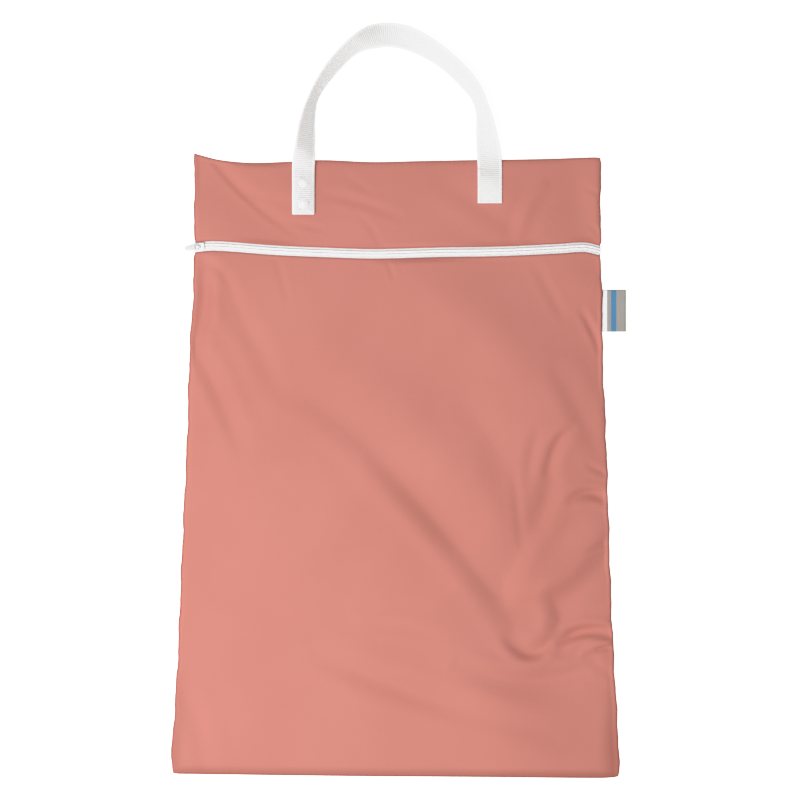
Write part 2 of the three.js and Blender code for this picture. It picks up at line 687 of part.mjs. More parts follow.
// Pull tab about its hinge, lying towards the nose: a bar below the bridge, two arms and a
// ribbed plate that narrows to a round tip
function zipPull() {
  const half = PULL_THICK / 2;
  const armIn = BRIDGE_WIDTH / 2 + CLEARANCE;
  const armOut = PULL_ROOT_WIDTH / 2 - PULL_THICK / 2;
  const eye = BRIDGE_INSIDE + BRIDGE_WALL + 2 * CLEARANCE;
  const tip = -PULL_LENGTH;
  const tipHalf = PULL_TIP_WIDTH / 2;
  const shape = new THREE.Shape();
  shape.moveTo(half, -armOut);
  shape.lineTo(half, armOut);
  shape.lineTo(-eye, PULL_ROOT_WIDTH / 2);
  shape.lineTo(tip + tipHalf, tipHalf);
  shape.absarc(tip + tipHalf, 0, tipHalf, Math.PI / 2, (3 * Math.PI) / 2, false);
  shape.lineTo(-eye, -PULL_ROOT_WIDTH / 2);
  const eyeHole = new THREE.Path();
  eyeHole.moveTo(-half, -armIn);
  eyeHole.lineTo(-eye, -armIn);
  eyeHole.lineTo(-eye, armIn);
  eyeHole.lineTo(-half, armIn);
  shape.holes.push(eyeHole);
  let body = solid(slab(shape, -half, half));
  const ribs = Math.floor((PULL_LENGTH - eye - PULL_TIP_WIDTH / 2) / PULL_RIB_PITCH);
  for (let i = 0; i < ribs; i += 1) {
    const x = -eye - PULL_RIB_PITCH * (i + 0.5);
    const reach = tipHalf * 0.8;
    const width = PULL_RIB_PITCH * 0.45;
    body = body.add(block(x - width / 2, x + width / 2, -reach, reach, half / 2, half + PULL_RIB));
  }
  return geometryOf(body);
}

// The slider sits on the zip's left end and follows its course and its slope
function sliderGroup() {
  const v = downAt(-1, zipY(-1));
  const spots = [0, SLIDER_LENGTH].map((along) => {
    const u = acrossAt(sliderLeft + along, v);
    return new THREE.Vector3(planX(u, v), zipY(u), skin(u, v) - tapeDrop);
  });
  const middle = spots[0].clone().lerp(spots[1], 0.5);
  const heading = spots[1].clone().sub(spots[0]);
  const group = new THREE.Group();
  group.position.copy(middle);
  group.rotation.order = 'ZYX';
  group.rotation.z = Math.atan2(heading.y, heading.x);
  group.rotation.y = -Math.atan2(heading.z, Math.hypot(heading.x, heading.y));
  group.add(piece('zip_slider', zipSlider(), white));
  const pull = piece('zip_pull', zipPull(), white);
  pull.position.set(hingeX, 0, hingeUp);
  group.add(pull);
  return group;
}

// Handle: flat legs on the header, and between them an arch that lies on the surface with
// its outer edge standing up on both flanks
const archCurve = new THREE.CatmullRomCurve3(ARCH.map(({ across, up }) => new THREE.Vector3(
  STRAP_SHIFT + (across * STRAP_SPREAD) / 2, BAG_HEIGHT / 2 + up * STRAP_RISE, 0,
)), false, 'centripetal');

function strapStations() {
  const stations = [];
  const [left, right] = LEGS;
  const legX = (leg) => STRAP_SHIFT + (leg.side * STRAP_SPREAD) / 2;
  const first = archCurve.getPoint(0).y;
  const last = archCurve.getPoint(1).y;
  for (let i = 0; i < LEG_STEPS; i += 1) {
    const y = lerp(BAG_HEIGHT / 2 - left.below, first, i / LEG_STEPS);
    stations.push({ x: legX(left), y, heading: Math.PI / 2, tilt: 0, leg: left });
  }
  const steps = (ARCH.length - 1) * STEPS_PER_ARCH_ROW;
  for (let i = 0; i <= steps; i += 1) {
    const t = i / steps;
    const spot = archCurve.getPoint(t);
    const ahead = archCurve.getTangent(t);
    const row = t * (ARCH.length - 1);
    const rows = ARCH.map(({ tilt }, at) => ({ at, tilt }));
    stations.push({
      x: spot.x,
      y: spot.y,
      heading: Math.atan2(ahead.y, ahead.x),
      tilt: degToRad(read(rows, 'at', row, 'tilt')),
      leg: t < 0.5 ? left : right,
    });
  }
  for (let i = 1; i <= LEG_STEPS; i += 1) {
    const y = lerp(last, BAG_HEIGHT / 2 - right.below, i / LEG_STEPS);
    stations.push({ x: legX(right), y, heading: -Math.PI / 2, tilt: 0, leg: right });
  }
  return stations;
}

// Points of one section, round the webbing: across from the inner to the outer edge
function strapSection({ x, y, heading, tilt, leg }) {
  const topAt = topY(acrossAt(x, 0));
  const landed = smoothstep(y, topAt, topAt + STRAP_LAND);
  const draped = 1 - smoothstep(y, topAt - 2 * ROLL_WIDTH, topAt - ROLL_WIDTH);
  const levelY = Math.min(y, topAt - 1.5 * ROLL_WIDTH);
  const half = STRAP_WIDTH / 2;
  const lying = CLEARANCE + half * Math.sin(tilt) + (STRAP_THICK / 2) * Math.cos(tilt);
  const carried = skinAt(x, levelY) + leg.over + STRAP_THICK / 2
    + half * Math.sin(tilt) * STRAP_TWIST_LIFT;
  const middle = lerp(carried, lying, landed);
  const outX = -Math.sin(heading);
  const outY = Math.cos(heading);
  const at = (across, up) => {
    const level = across * Math.cos(tilt) - up * Math.sin(tilt);
    const px = x + outX * level;
    const py = y + outY * level;
    const rigid = middle + across * Math.sin(tilt) + up * Math.cos(tilt);
    const onCloth = skinAt(px, Math.min(py, levelY)) + leg.over + STRAP_THICK / 2 + up;
    return new THREE.Vector3(px, py, lerp(rigid, onCloth, draped));
  };
  const up = STRAP_THICK / 2;
  return [at(-half, -up), at(0, -up), at(half, -up), at(half, up), at(0, up), at(-half, up)];
}

function handleStrap() {
  const sections = strapStations().map(strapSection);
  let body = solid(sweptSections(sections, false));
  const { over } = LEGS[0];
  for (const { y } of SNAPS) {
    body = body.subtract(postHole(y, over - CLOTH, over + STRAP_THICK + CLOTH));
  }
  return geometryOf(body);
}

// A fastened snap: domed cap over the webbing, post, body between webbing and header, and
// a back disc inside the bag
function snap(y) {
  const bottom = -CLOTH - CLEARANCE - SNAP_BACK_HEIGHT;
  const bodyLow = CLEARANCE;
  const capLow = LEGS[0].over + STRAP_THICK + CLEARANCE;
  const back = SNAP_BACK / 2;
  const core = SNAP_POST / 2;
  const middle = SNAP_BODY / 2;
  const cap = SNAP_CAP / 2;
  const profile = [
    [0, bottom], [back, bottom], [back, bottom + SNAP_BACK_HEIGHT],
    [core, bottom + SNAP_BACK_HEIGHT], [core, bodyLow], [middle, bodyLow],
    [middle, bodyLow + SNAP_BODY_HEIGHT], [core, bodyLow + SNAP_BODY_HEIGHT], [core, capLow],
    [cap, capLow], [cap, capLow + SNAP_CAP_HEIGHT * 0.3],
    [cap * 0.82, capLow + SNAP_CAP_HEIGHT * 0.72], [cap * 0.45, capLow + SNAP_CAP_HEIGHT * 0.95],
    [0, capLow + SNAP_CAP_HEIGHT],
  ];
  const geometry = new THREE.LatheGeometry(
    profile.map(([r, z]) => new THREE.Vector2(r, z)), ROUND_SIDES,
  );
  geometry.rotateX(Math.PI / 2);
  geometry.applyMatrix4(seatOn(snapX, y));
  return geometry;
}

// Side tag: a ribbon folded over, its two ends pressed together in the seam
function sideTag() {
  const y = BAG_HEIGHT / 2 - TAG_DOWN;
  const edge = rightX(downAt(1, y));
  const low = CLOTH + CLEARANCE;
  const high = low + TAG_LAYER;
  const spread = TAG_OPEN / 2;
  const middle = (low + high) / 2;
  const outer = spread + TAG_LAYER;
  const mouth = TAG_OUT * 0.16;
  const fold = TAG_OUT - outer;
  const shape = new THREE.Shape();
  shape.moveTo(-TAG_IN, low);
  shape.lineTo(CLEARANCE, low);
  shape.lineTo(mouth, middle - outer);
  shape.lineTo(fold, middle - outer);
  shape.absarc(fold, middle, outer, -Math.PI / 2, Math.PI / 2, false);
  shape.lineTo(mouth, middle + outer);
  shape.lineTo(CLEARANCE, high);
  shape.lineTo(-TAG_IN, high);
  const slit = new THREE.Path();
  slit.moveTo(mouth, middle);
  slit.lineTo(mouth * 1.6, middle + spread);
  slit.lineTo(fold, middle + spread);
  slit.absarc(fold, middle, spread, Math.PI / 2, -Math.PI / 2, true);
  slit.lineTo(mouth * 1.6, middle - spread);
  shape.holes.push(slit);
  const geometry = new THREE.ExtrudeGeometry(shape, {
    depth: TAG_HEIGHT, bevelEnabled: false, curveSegments: 6,
  });
  geometry.rotateX(Math.PI / 2);
  geometry.translate(edge, y + TAG_HEIGHT / 2, 0);
  return geometry;
}

bag.add(piece('back_panel', backPanel(), coral));
bag.add(piece('front_panel', frontPanel(), coral));
bag.add(piece('header_panel', headerPanel(), coral));
bag.add(piece('zip_tape_upper', zipTape(1), white));
bag.add(piece('zip_tape_lower', zipTape(-1), white));
bag.add(piece('zip_coil_upper', zipCoil(1), white));
bag.add(piece('zip_coil_lower', zipCoil(-1), white));
bag.add(sliderGroup());
bag.add(piece('handle_strap', handleStrap(), white));
for (const { name, y } of SNAPS) bag.add(piece(name, snap(y), white));
bag.add(piece('side_tag', sideTag(), white));

export default bag;
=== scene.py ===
# %% [markdown]
# # A cloth diaper wet bag, lying on its back
# The bag is two sheets of coated knit sewn together round the edge and turned, with a coil
# zip across the front, a webbing handle and a small ribbon tag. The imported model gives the
# frame and the sizes. This lesson dresses it: every soft piece gets its folds and its weave.

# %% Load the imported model
import math

import bmesh
import bpy
import numpy as np
from mathutils import Matrix, Vector, noise


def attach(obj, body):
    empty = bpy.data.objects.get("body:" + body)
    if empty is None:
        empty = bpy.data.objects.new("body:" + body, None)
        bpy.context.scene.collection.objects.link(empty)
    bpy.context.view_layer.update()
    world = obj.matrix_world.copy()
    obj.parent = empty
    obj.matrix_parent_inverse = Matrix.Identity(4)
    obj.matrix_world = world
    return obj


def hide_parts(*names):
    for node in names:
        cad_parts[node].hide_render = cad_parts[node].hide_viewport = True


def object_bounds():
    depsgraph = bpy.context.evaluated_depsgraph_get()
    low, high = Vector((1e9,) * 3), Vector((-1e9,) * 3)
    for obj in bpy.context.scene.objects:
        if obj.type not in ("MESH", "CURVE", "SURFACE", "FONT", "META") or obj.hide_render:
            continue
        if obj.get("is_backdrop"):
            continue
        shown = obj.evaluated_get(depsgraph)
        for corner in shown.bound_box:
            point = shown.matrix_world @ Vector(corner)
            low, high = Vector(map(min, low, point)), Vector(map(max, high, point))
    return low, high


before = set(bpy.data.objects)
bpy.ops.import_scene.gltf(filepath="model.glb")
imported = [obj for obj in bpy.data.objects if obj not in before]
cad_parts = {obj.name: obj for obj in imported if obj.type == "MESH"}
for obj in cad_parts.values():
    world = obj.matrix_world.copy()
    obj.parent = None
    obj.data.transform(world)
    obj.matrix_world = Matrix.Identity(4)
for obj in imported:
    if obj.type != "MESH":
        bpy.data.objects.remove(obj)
cad_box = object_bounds()
MM = 0.001
print("CAD box, mm:", [[round(x / MM, 1) for x in corner] for corner in cad_box])

# %% [markdown]
# ## The camera
# The bag was photographed from straight above. A lens with a very long focal length keeps
# the upper side of the folds from growing towards the camera, so the outline stays true.

# %% Camera
PICTURE_WIDTH = 0.828  # what the square picture shows at the cloth, m
PICTURE_CENTRE = (0.0026, 0.0712)
CAMERA_UP = 6.0
SENSOR_MM = 36.0

camera_data = bpy.data.cameras.new("camera")
camera_data.sensor_width = SENSOR_MM
camera_data.lens = SENSOR_MM * CAMERA_UP / PICTURE_WIDTH
camera_data.clip_start = 0.1
camera_data.clip_end = 60.0
camera = bpy.data.objects.new("camera", camera_data)
camera.location = (*PICTURE_CENTRE, CAMERA_UP)
bpy.context.scene.collection.objects.link(camera)
bpy.context.scene.camera = camera
print("lens, mm:", round(camera_data.lens, 1))

# %% [markdown]
# ## Sizes of the cloth
# The sizes and tables are those of the solid model, in millimetres, so that the cloth lies
# where its solid lies. Each table has named columns, read by a smooth curve through its rows.

# %% Sizes and tables of the body
BAG_HEIGHT = 637
TOP_WIDTH = 421
BOTTOM_WIDTH = 463
EDGE_WAVE = 8.3
CORNER_ROUND = 9
CORNER_PULL = 0.1
CLOTH = 1
CLEARANCE = 0.3
PUFF = 14
PUFF_POWER = 2.2
ROLL_HEIGHT = 4
ROLL_WIDTH = 7

FLARE = {
    "down": [0, 0.16, 0.23, 0.33, 0.45, 0.58, 0.72, 0.83, 0.92, 0.966, 1],
    "left": [0, 0, 0.03, 0.12, 0.17, 0.26, 0.35, 0.42, 0.51, 0.56, 0.55],
    "right": [0, 0, 0.03, 0.05, 0.13, 0.19, 0.26, 0.34, 0.42, 0.45, 0.45],
}
TOP_EDGE = {
    "across": [-1, -0.965, -0.87, -0.72, -0.55, -0.37, -0.13, 0.11, 0.36, 0.7, 1],
    "up": [1.05, 0.72, 0.12, -0.22, -0.1, 0.12, -0.12, 0, 0.12, 0.25, 0.5],
}
BOTTOM_EDGE = {
    "across": [-1, -0.87, -0.56, -0.16, 0.38, 0.91, 1],
    "drop": [-0.34, -0.3, -0.18, -0.05, 0.06, 0.19, 0.08],
}
PUFF_DOWN = {
    "down": [0, 0.05, 0.14, 0.3, 0.55, 0.8, 0.94, 1],
    "puff": [0, 0.22, 0.36, 0.75, 1, 0.86, 0.42, 0],
}


def read(table, key, column, at):
    """A table's column at any place between its rows."""
    keys = np.array(table[key], float)
    values = np.array(table[column], float)
    x = np.clip(np.asarray(at, float), keys[0], keys[-1])
    i = np.clip(np.searchsorted(keys, x, side="left") - 1, 0, len(keys) - 2)
    before = np.maximum(i - 1, 0)
    after = np.minimum(i + 2, len(keys) - 1)
    span = keys[i + 1] - keys[i]
    slope_a = (values[i + 1] - values[before]) / (keys[i + 1] - keys[before]) * span
    slope_b = (values[after] - values[i]) / (keys[after] - keys[i]) * span
    t = (x - keys[i]) / span
    return ((2 * t**3 - 3 * t**2 + 1) * values[i] + (t**3 - 2 * t**2 + t) * slope_a
            + (3 * t**2 - 2 * t**3) * values[i + 1] + (t**3 - t**2) * slope_b)


def lerp(a, b, t):
    return a + (b - a) * t


def smoothstep(x, low, high):
    t = np.clip((x - low) / (high - low), 0, 1)
    return t * t * (3 - 2 * t)


print("flare half way down:", round(float(read(FLARE, "down", "left", 0.5)), 3))

# %% [markdown]
# ## The plan of the bag
# Two numbers say where a place on the cloth is: u runs from -1 at the left seam to 1 at the
# right, and v from 0 at the top edge to 1 at the bottom seam. The plan turns them into
# millimetres, and says how far the place is from the side and end seams.

# %% The plan
ZIP_DOWN = 88
ZIP_SAG = 8.3
ZIP_SHOW = 10
TAPE = 1
TAPE_UNDER = 8
SLIDER_PLATE = 0.9
TAG_HEIGHT = 43.5
TAG_DOWN = 155
TAG_LAYER = 1
ZIP_LINE = {
    "across": [-1, -0.9, -0.6, -0.3, -0.1, 0.2, 0.5, 0.8, 0.92, 1],
    "drop": [0.19, 0, 0.55, 0.88, 1, 0.81, 0.69, 0.34, 0.17, 0.56],
}
FLARE_WIDTH = BOTTOM_WIDTH - TOP_WIDTH
SEAM_WAVES = ((0.45, 61, 0.6), (0.25, 27, 2.1), (0.1, 11, 4))  # height, length, start
SEAM_WAVE_POWER = 10
NOTCH = 1.1
NOTCH_LENGTH = 2.4


def left_x(v):
    return -TOP_WIDTH / 2 - FLARE_WIDTH * read(FLARE, "down", "left", v)


def right_x(v):
    return TOP_WIDTH / 2 + FLARE_WIDTH * read(FLARE, "down", "right", v)


def top_y(u):
    return BAG_HEIGHT / 2 + EDGE_WAVE * read(TOP_EDGE, "across", "up", u)


def bottom_y(u):
    return -BAG_HEIGHT / 2 - EDGE_WAVE * read(BOTTOM_EDGE, "across", "drop", u)


def zip_y(u):
    return BAG_HEIGHT / 2 - ZIP_DOWN - ZIP_SAG * read(ZIP_LINE, "across", "drop", u)


def down_at(u, y):
    return (top_y(u) - y) / (top_y(u) - bottom_y(u))


def across_at(x, v):
    return (x - left_x(v)) / (right_x(v) - left_x(v)) * 2 - 1


def seam_wave(u, y):
    """How far a side seam wavers out of its line, and draws in beside the zip."""
    out = sum(height * np.sin(math.tau * y / length + start + u)
              for height, length, start in SEAM_WAVES)
    from_zip = (np.abs(y - zip_y(u)) - ZIP_SHOW / 2) / NOTCH_LENGTH
    return np.sign(u) * np.abs(u) ** SEAM_WAVE_POWER * (out - NOTCH * np.exp(-from_zip**2))


def across_x(u, v, y):
    return lerp(left_x(v), right_x(v), (u + 1) / 2) + seam_wave(u, y)


def plan(u, v):
    """x, y, and the distances from the nearest side seam and end seam."""
    y = lerp(top_y(u), bottom_y(u), v)
    x = across_x(u, v, y)
    side_gap = (1 - np.abs(u)) * (right_x(v) - left_x(v)) / 2
    end_gap = np.minimum(v, 1 - v) * BAG_HEIGHT
    near = np.maximum(0, 1 - (side_gap + end_gap) / CORNER_ROUND)
    pull = near * near * CORNER_ROUND * CORNER_PULL
    return x - np.sign(u) * pull, y + np.where(v > 0.5, pull, -pull), side_gap, end_gap


print("zip's middle, mm:", round(float(zip_y(0.0)), 1))

# %% [markdown]
# ## The folds
# An empty bag that lies flat keeps a few long folds from its own weight and from the way
# it was put down, and short puckers where the seam is tighter than the cloth. They could
# come from a simulation, but then they wouldn't be these folds. So each one is drawn: a
# curve from a start over a bend to an end, read off the picture in its pixels. A
# fold is a valley with a wall on either hand, often steep on one and gentle on the other,
# and a low ridge beyond each wall. A negative depth turns the valley into a ridge.

# %% Folds
PIXEL = PICTURE_WIDTH / 800 / MM  # of the picture, at the cloth, mm
HEADER_FOLDS = [
    # start, bend and end, in pixels; width on the left hand and on the right, depth, in mm
    ((199, 139), (232, 196), (300, 238), 12, 4, 0.75),
    ((190, 142), (236, 205), (300, 246), 34, 48, 1.7),
    ((238, 186), (262, 200), (300, 208), 9, 8, 0.35),
    ((318, 194), (360, 199), (406, 220), 8, 7, 0.45),
    ((342, 175), (358, 183), (377, 198), 7, 6, 0.22),
    ((356, 214), (374, 226), (381, 248), 5, 5, 0.28),
    ((430, 176), (480, 200), (535, 246), 20, 16, 0.7),
    ((517, 246), (520, 205), (548, 182), 10, 12, -1.0),
    ((580, 150), (572, 200), (590, 250), 26, 34, 1.0),
    ((584, 187), (594, 191), (604, 198), 4, 4, 0.5),
    ((588, 224), (596, 230), (605, 238), 4, 4, 0.5),
    ((290, 221), (308, 227), (326, 229), 5, 5, 0.4),
]
UPPER_FOLDS = [
    ((204, 254), (211, 296), (192, 366), 12, 11, 1.5),
    ((203, 264), (230, 262), (240, 320), 8, 7, 0.45),
    ((209, 266), (214, 292), (226, 344), 9, 9, -0.3),
    ((275, 257), (282, 272), (289, 308), 6, 6, 0.35),
    ((387, 259), (389, 267), (395, 281), 4, 3.5, 0.6),
    ((186, 336), (212, 370), (244, 456), 16, 12, 1.1),
    ((225, 286), (245, 325), (290, 410), 17, 15, 0.7),
    ((376, 250), (500, 326), (622, 480), 62, 62, -2.8),
    ((533, 260), (548, 290), (567, 322), 8, 8, 0.4),
    ((550, 360), (580, 410), (604, 462), 18, 15, 0.8),
    ((579, 308), (593, 328), (602, 356), 6, 5, 1.0),
]
MIDDLE_FOLDS = [
    ((276, 380), (372, 425), (462, 548), 40, 20, 1.1),
    ((366, 452), (466, 535), (536, 656), 44, 20, 2.1),
    ((503, 632), (536, 678), (558, 624), 15, 9, 2.2),
    ((546, 586), (572, 614), (554, 656), 40, 15, 2.1),
    ((606, 514), (574, 598), (504, 592), 17, 28, -2.2),
    ((568, 484), (510, 548), (497, 600), 16, 32, 1.5),
    ((577, 428), (551, 434), (547, 480), 11, 7, 1.2),
    ((552, 458), (550, 500), (534, 528), 14, 14, 0.8),
    ((541, 428), (528, 450), (529, 486), 8, 9, 0.6),
    ((513, 466), (517, 510), (523, 556), 7, 7, 0.4),
    ((456, 390), (505, 440), (516, 530), 24, 20, 0.55),
    ((300, 642), (360, 598), (432, 604), 10, 11, 0.4),
    ((332, 628), (396, 616), (446, 640), 9, 10, 0.3),
]
LOW_FOLDS = [
    ((452, 662), (522, 698), (600, 664), 13, 30, 2.0),
    ((308, 650), (425, 706), (566, 734), 19, 17, 1.5),
    ((430, 590), (470, 700), (570, 800), 62, 60, -2.2),
    ((620, 240), (624, 520), (640, 880), 12, 90, 1.7),
    ((181, 680), (204, 728), (206, 780), 16, 14, 0.7),
]
RIGHT_PUCKERS = [
    ((585, 464), (600, 471), (625, 480), 4, 5, 1.0),
    ((566, 504), (588, 478), (630, 512), 7, 9, 2.0),
    ((586, 551), (602, 541), (626, 538), 4, 5, 1.1),
    ((556, 645), (584, 620), (632, 640), 9, 8, 3.2),
    ((578, 656), (594, 640), (624, 640), 5, 5, -1.0),
    ((594, 652), (608, 644), (630, 650), 3.5, 3.5, 1.6),
    ((583, 653), (600, 668), (628, 684), 8, 8, 0.5),
]
FOLD_STEPS = 16
FOLD_RELIEF = 2.1  # all depths are times this
VALLEY_NARROWNESS = 3
RIDGE_SHARE = 0.3
RIDGE_OUT = 1.2
RIDGE_NARROWNESS = 4
FOLD_END_POWER = 0.7


def from_picture(place):
    """Where a pixel of the picture is on the table, in millimetres."""
    return np.array([PICTURE_CENTRE[0] / MM + (place[0] - 400) * PIXEL,
                     PICTURE_CENTRE[1] / MM - (place[1] - 400) * PIXEL])


def fold_curve(points):
    """A row of points on the smooth curve from a start over a bend to an end."""
    a, b, c = (from_picture(point) for point in points)
    t = np.linspace(0, 1, FOLD_STEPS + 1)[:, None]
    return (1 - t) ** 2 * a + 2 * t * (1 - t) * b + t**2 * c


FOLDS = [(fold_curve(row[:3]), *row[3:]) for row in
         HEADER_FOLDS + UPPER_FOLDS + MIDDLE_FOLDS + LOW_FOLDS + RIGHT_PUCKERS]


def fold_depth(x, y):
    """How deep all folds together are at each place."""
    total = np.zeros_like(x)
    for curve, left, right, depth in FOLDS:
        best = np.full_like(x, np.inf)
        along = np.zeros_like(x)
        width = np.ones_like(x)
        for i, (p, q) in enumerate(zip(curve[:-1], curve[1:])):
            step = q - p
            t = np.clip(((x - p[0]) * step[0] + (y - p[1]) * step[1]) / (step @ step), 0, 1)
            gap = np.hypot(x - p[0] - t * step[0], y - p[1] - t * step[1])
            hand = step[0] * (y - p[1]) - step[1] * (x - p[0])
            near = gap < best
            best = np.where(near, gap, best)
            along = np.where(near, (i + t) / FOLD_STEPS, along)
            width = np.where(near, np.where(hand > 0, left, right), width)
        s = best / width
        ends = np.sin(np.pi * along) ** FOLD_END_POWER
        ridge = RIDGE_SHARE * np.exp(-RIDGE_NARROWNESS * (s - RIDGE_OUT) ** 2)
        total += FOLD_RELIEF * depth * ends * (np.exp(-VALLEY_NARROWNESS * s * s) - ridge)
    return total


print("folds:", len(FOLDS))

# %% [markdown]
# ## The height of the front
# The front rises from the turned seam in a small roll, tighter on the left and at the
# bottom and wide at the lower right, and then a little more towards the middle, where air
# and the cloth's stiffness hold it up. Tape, slider and tag are caught in the side seams
# and lift it there. Faint unevenness keeps it from looking moulded.

# %% The front's height
TAPE_REACH = ZIP_SHOW / 2 + TAPE_UNDER
CAUGHT = {
    "side": [-1, 1, 1],
    "y": [float(zip_y(-1)), float(zip_y(1)), BAG_HEIGHT / 2 - TAG_DOWN],
    "half": [TAPE_REACH, TAPE_REACH, TAG_HEIGHT / 2],
    "lift": [SLIDER_PLATE + TAPE + 2 * CLEARANCE, TAPE + CLEARANCE, TAG_LAYER + CLEARANCE],
    "flat": [1, 1, 0],
}
SEAM_ROLLS = {  # where the turned side seam's roll is tighter or wider than elsewhere
    "side": [-1, -1, 1],
    "y": [235, -270, -300],
    "half": [100, 80, 50],
    "share": [0.4, 0.4, 2.8],
}
SEAM_ROLL_BLEND = 40
BOTTOM_ROLL = 0.45
CAUGHT_MARGIN = 2
CAUGHT_BLEND = 14
CAUGHT_REACH = 30
FOLD_FADE = 6
UNEVEN_BROAD = (0.35, 70)  # height and spacing, mm
UNEVEN_FINE = (0.1, 22)


def caught_at(u, y, side_gap):
    lift = np.zeros_like(y)
    flat = np.zeros_like(y)
    for side, at, half, up, level in zip(*CAUGHT.values()):
        start = half + CAUGHT_MARGIN
        beside = 1 - smoothstep(np.abs(y - at), start, start + CAUGHT_BLEND)
        share = beside * np.exp(-((side_gap / CAUGHT_REACH) ** 2)) * (side * u > 0)
        lift = lift + up * share
        flat = flat + level * share
    return lift, flat


def side_roll(u, y):
    """How wide the roll of the side seam is."""
    width = np.full(np.shape(y), float(ROLL_WIDTH))
    for side, at, half, share in zip(*SEAM_ROLLS.values()):
        beside = 1 - smoothstep(np.abs(y - at), half, half + SEAM_ROLL_BLEND)
        width = width * (1 + (share - 1) * beside * (side * u > 0))
    return width


def roll(gap, width=ROLL_WIDTH):
    return np.sqrt(1 - (1 - np.clip(gap / width, 0, 1)) ** 2)


def unevenness(x, y):
    heights = np.zeros(x.size)
    for n, (a, b) in enumerate(zip(x.ravel(), y.ravel())):
        for height, spacing in (UNEVEN_BROAD, UNEVEN_FINE):
            heights[n] += height * noise.noise(Vector((a / spacing, b / spacing, height)))
    return heights.reshape(x.shape)


def skin(u, v, detail=False):
    """Height of the front's outer face, with the faint unevenness where detail is set."""
    u, v = np.asarray(u, float), np.asarray(v, float)
    x, y, side_gap, end_gap = plan(u, v)
    lift, flat = caught_at(u, y, side_gap)
    end_roll = ROLL_WIDTH * np.where(v > 0.5, BOTTOM_ROLL, 1)
    rolled = ROLL_HEIGHT * roll(side_gap, side_roll(u, y)) * roll(end_gap, end_roll)
    puff = PUFF * read(PUFF_DOWN, "down", "puff", v) * (1 - np.abs(u) ** PUFF_POWER)
    from_zip = np.maximum(0, np.abs(y - zip_y(u)) - ZIP_SHOW / 2)
    inside = np.minimum(np.minimum(side_gap, end_gap), from_zip)
    folds = fold_depth(x, y) - (unevenness(x, y) if detail else 0)
    height = lift + flat * CLOTH + (1 - flat) * rolled + puff
    return CLOTH + CLEARANCE + np.maximum(height - smoothstep(inside, 0, FOLD_FADE) * folds, 0)


def skin_at(x, y):
    x, y = np.asarray(x, float), np.asarray(y, float)
    v = np.clip(down_at(across_at(x, 0 * x), y), 0, 1)
    u = across_at(x, v)
    return skin(u, np.clip(down_at(u, y), 0, 1))


print("front's height at its middle, mm:", round(float(skin(0.0, 0.55)), 1))

# %% [markdown]
# ## Shader groups
# Several finishes here are knitted or woven, and each has a little colour variation. Each
# effect is built once as a node group with named inputs and is placed in the materials
# with values of their own. The groups put out only heights and colours.

# %% Helpers for node trees


def add(tree, kind, **inputs):
    """A node, with its inputs set by name or linked to another node's output."""
    node = tree.nodes.new(kind)
    for name, value in inputs.items():
        if name.startswith("set_"):
            setattr(node, name[4:], value)
    for name, value in inputs.items():
        if name.startswith("set_"):
            continue
        key = int(name[1:]) if name.startswith("_") else name.replace("_", " ")
        if isinstance(value, bpy.types.NodeSocket):
            tree.links.new(value, node.inputs[key])
        else:
            node.inputs[key].default_value = value
    return node


def maths(tree, operation, a, b=0.0, c=0.0):
    node = add(tree, "ShaderNodeMath", set_operation=operation, _0=a, _1=b, _2=c)
    return node.outputs[0]


def new_group(name, inputs, outputs):
    """An empty node group: inputs by name, kind and default, and outputs by name and kind."""
    tree = bpy.data.node_groups.new(name, "ShaderNodeTree")
    for label, kind, value in inputs:
        socket = tree.interface.new_socket(label, in_out="INPUT", socket_type=kind)
        socket.default_value = value
    for label, kind in outputs:
        tree.interface.new_socket(label, in_out="OUTPUT", socket_type=kind)
    return tree, tree.nodes.new("NodeGroupInput"), tree.nodes.new("NodeGroupOutput")


FLOAT, VECTOR, COLOR = "NodeSocketFloat", "NodeSocketVector", "NodeSocketColor"

# %% Knit: columns of small stitches
knit_group, given, result = new_group(
    "knit", [("Place", VECTOR, (0, 0, 0)), ("Wale", FLOAT, 0.0008), ("Course", FLOAT, 0.0006)],
    [("Height", FLOAT)])
parts = add(knit_group, "ShaderNodeSeparateXYZ", Vector=given.outputs["Place"])
wale = maths(knit_group, "DIVIDE", parts.outputs["X"], given.outputs["Wale"])
course = maths(knit_group, "DIVIDE", parts.outputs["Y"], given.outputs["Course"])
ridge = maths(knit_group, "ABSOLUTE", maths(knit_group, "SINE", maths(
    knit_group, "MULTIPLY", wale, math.pi)))
leg = maths(knit_group, "PINGPONG", wale, 0.5)
turned = maths(knit_group, "ADD", course, leg)
loop = maths(knit_group, "MULTIPLY_ADD", maths(knit_group, "SINE", maths(
    knit_group, "MULTIPLY", turned, math.tau)), 0.25, 0.75)
knit_group.links.new(maths(knit_group, "MULTIPLY", ridge, loop), result.inputs["Height"])

# %% Plain weave: yarns that go over and under each other
weave_group, given, result = new_group(
    "weave", [("Place", VECTOR, (0, 0, 0)), ("Warp", FLOAT, 0.0006), ("Weft", FLOAT, 0.0006)],
    [("Height", FLOAT)])
parts = add(weave_group, "ShaderNodeSeparateXYZ", Vector=given.outputs["Place"])
warp = maths(weave_group, "MULTIPLY", maths(
    weave_group, "DIVIDE", parts.outputs["X"], given.outputs["Warp"]), math.pi)
weft = maths(weave_group, "MULTIPLY", maths(
    weave_group, "DIVIDE", parts.outputs["Y"], given.outputs["Weft"]), math.pi)
over = maths(weave_group, "MULTIPLY", maths(weave_group, "SINE", warp), maths(
    weave_group, "SINE", weft))
yarn = maths(weave_group, "MULTIPLY_ADD", over, 0.5, 0.5)
weave_group.links.new(yarn, result.inputs["Height"])

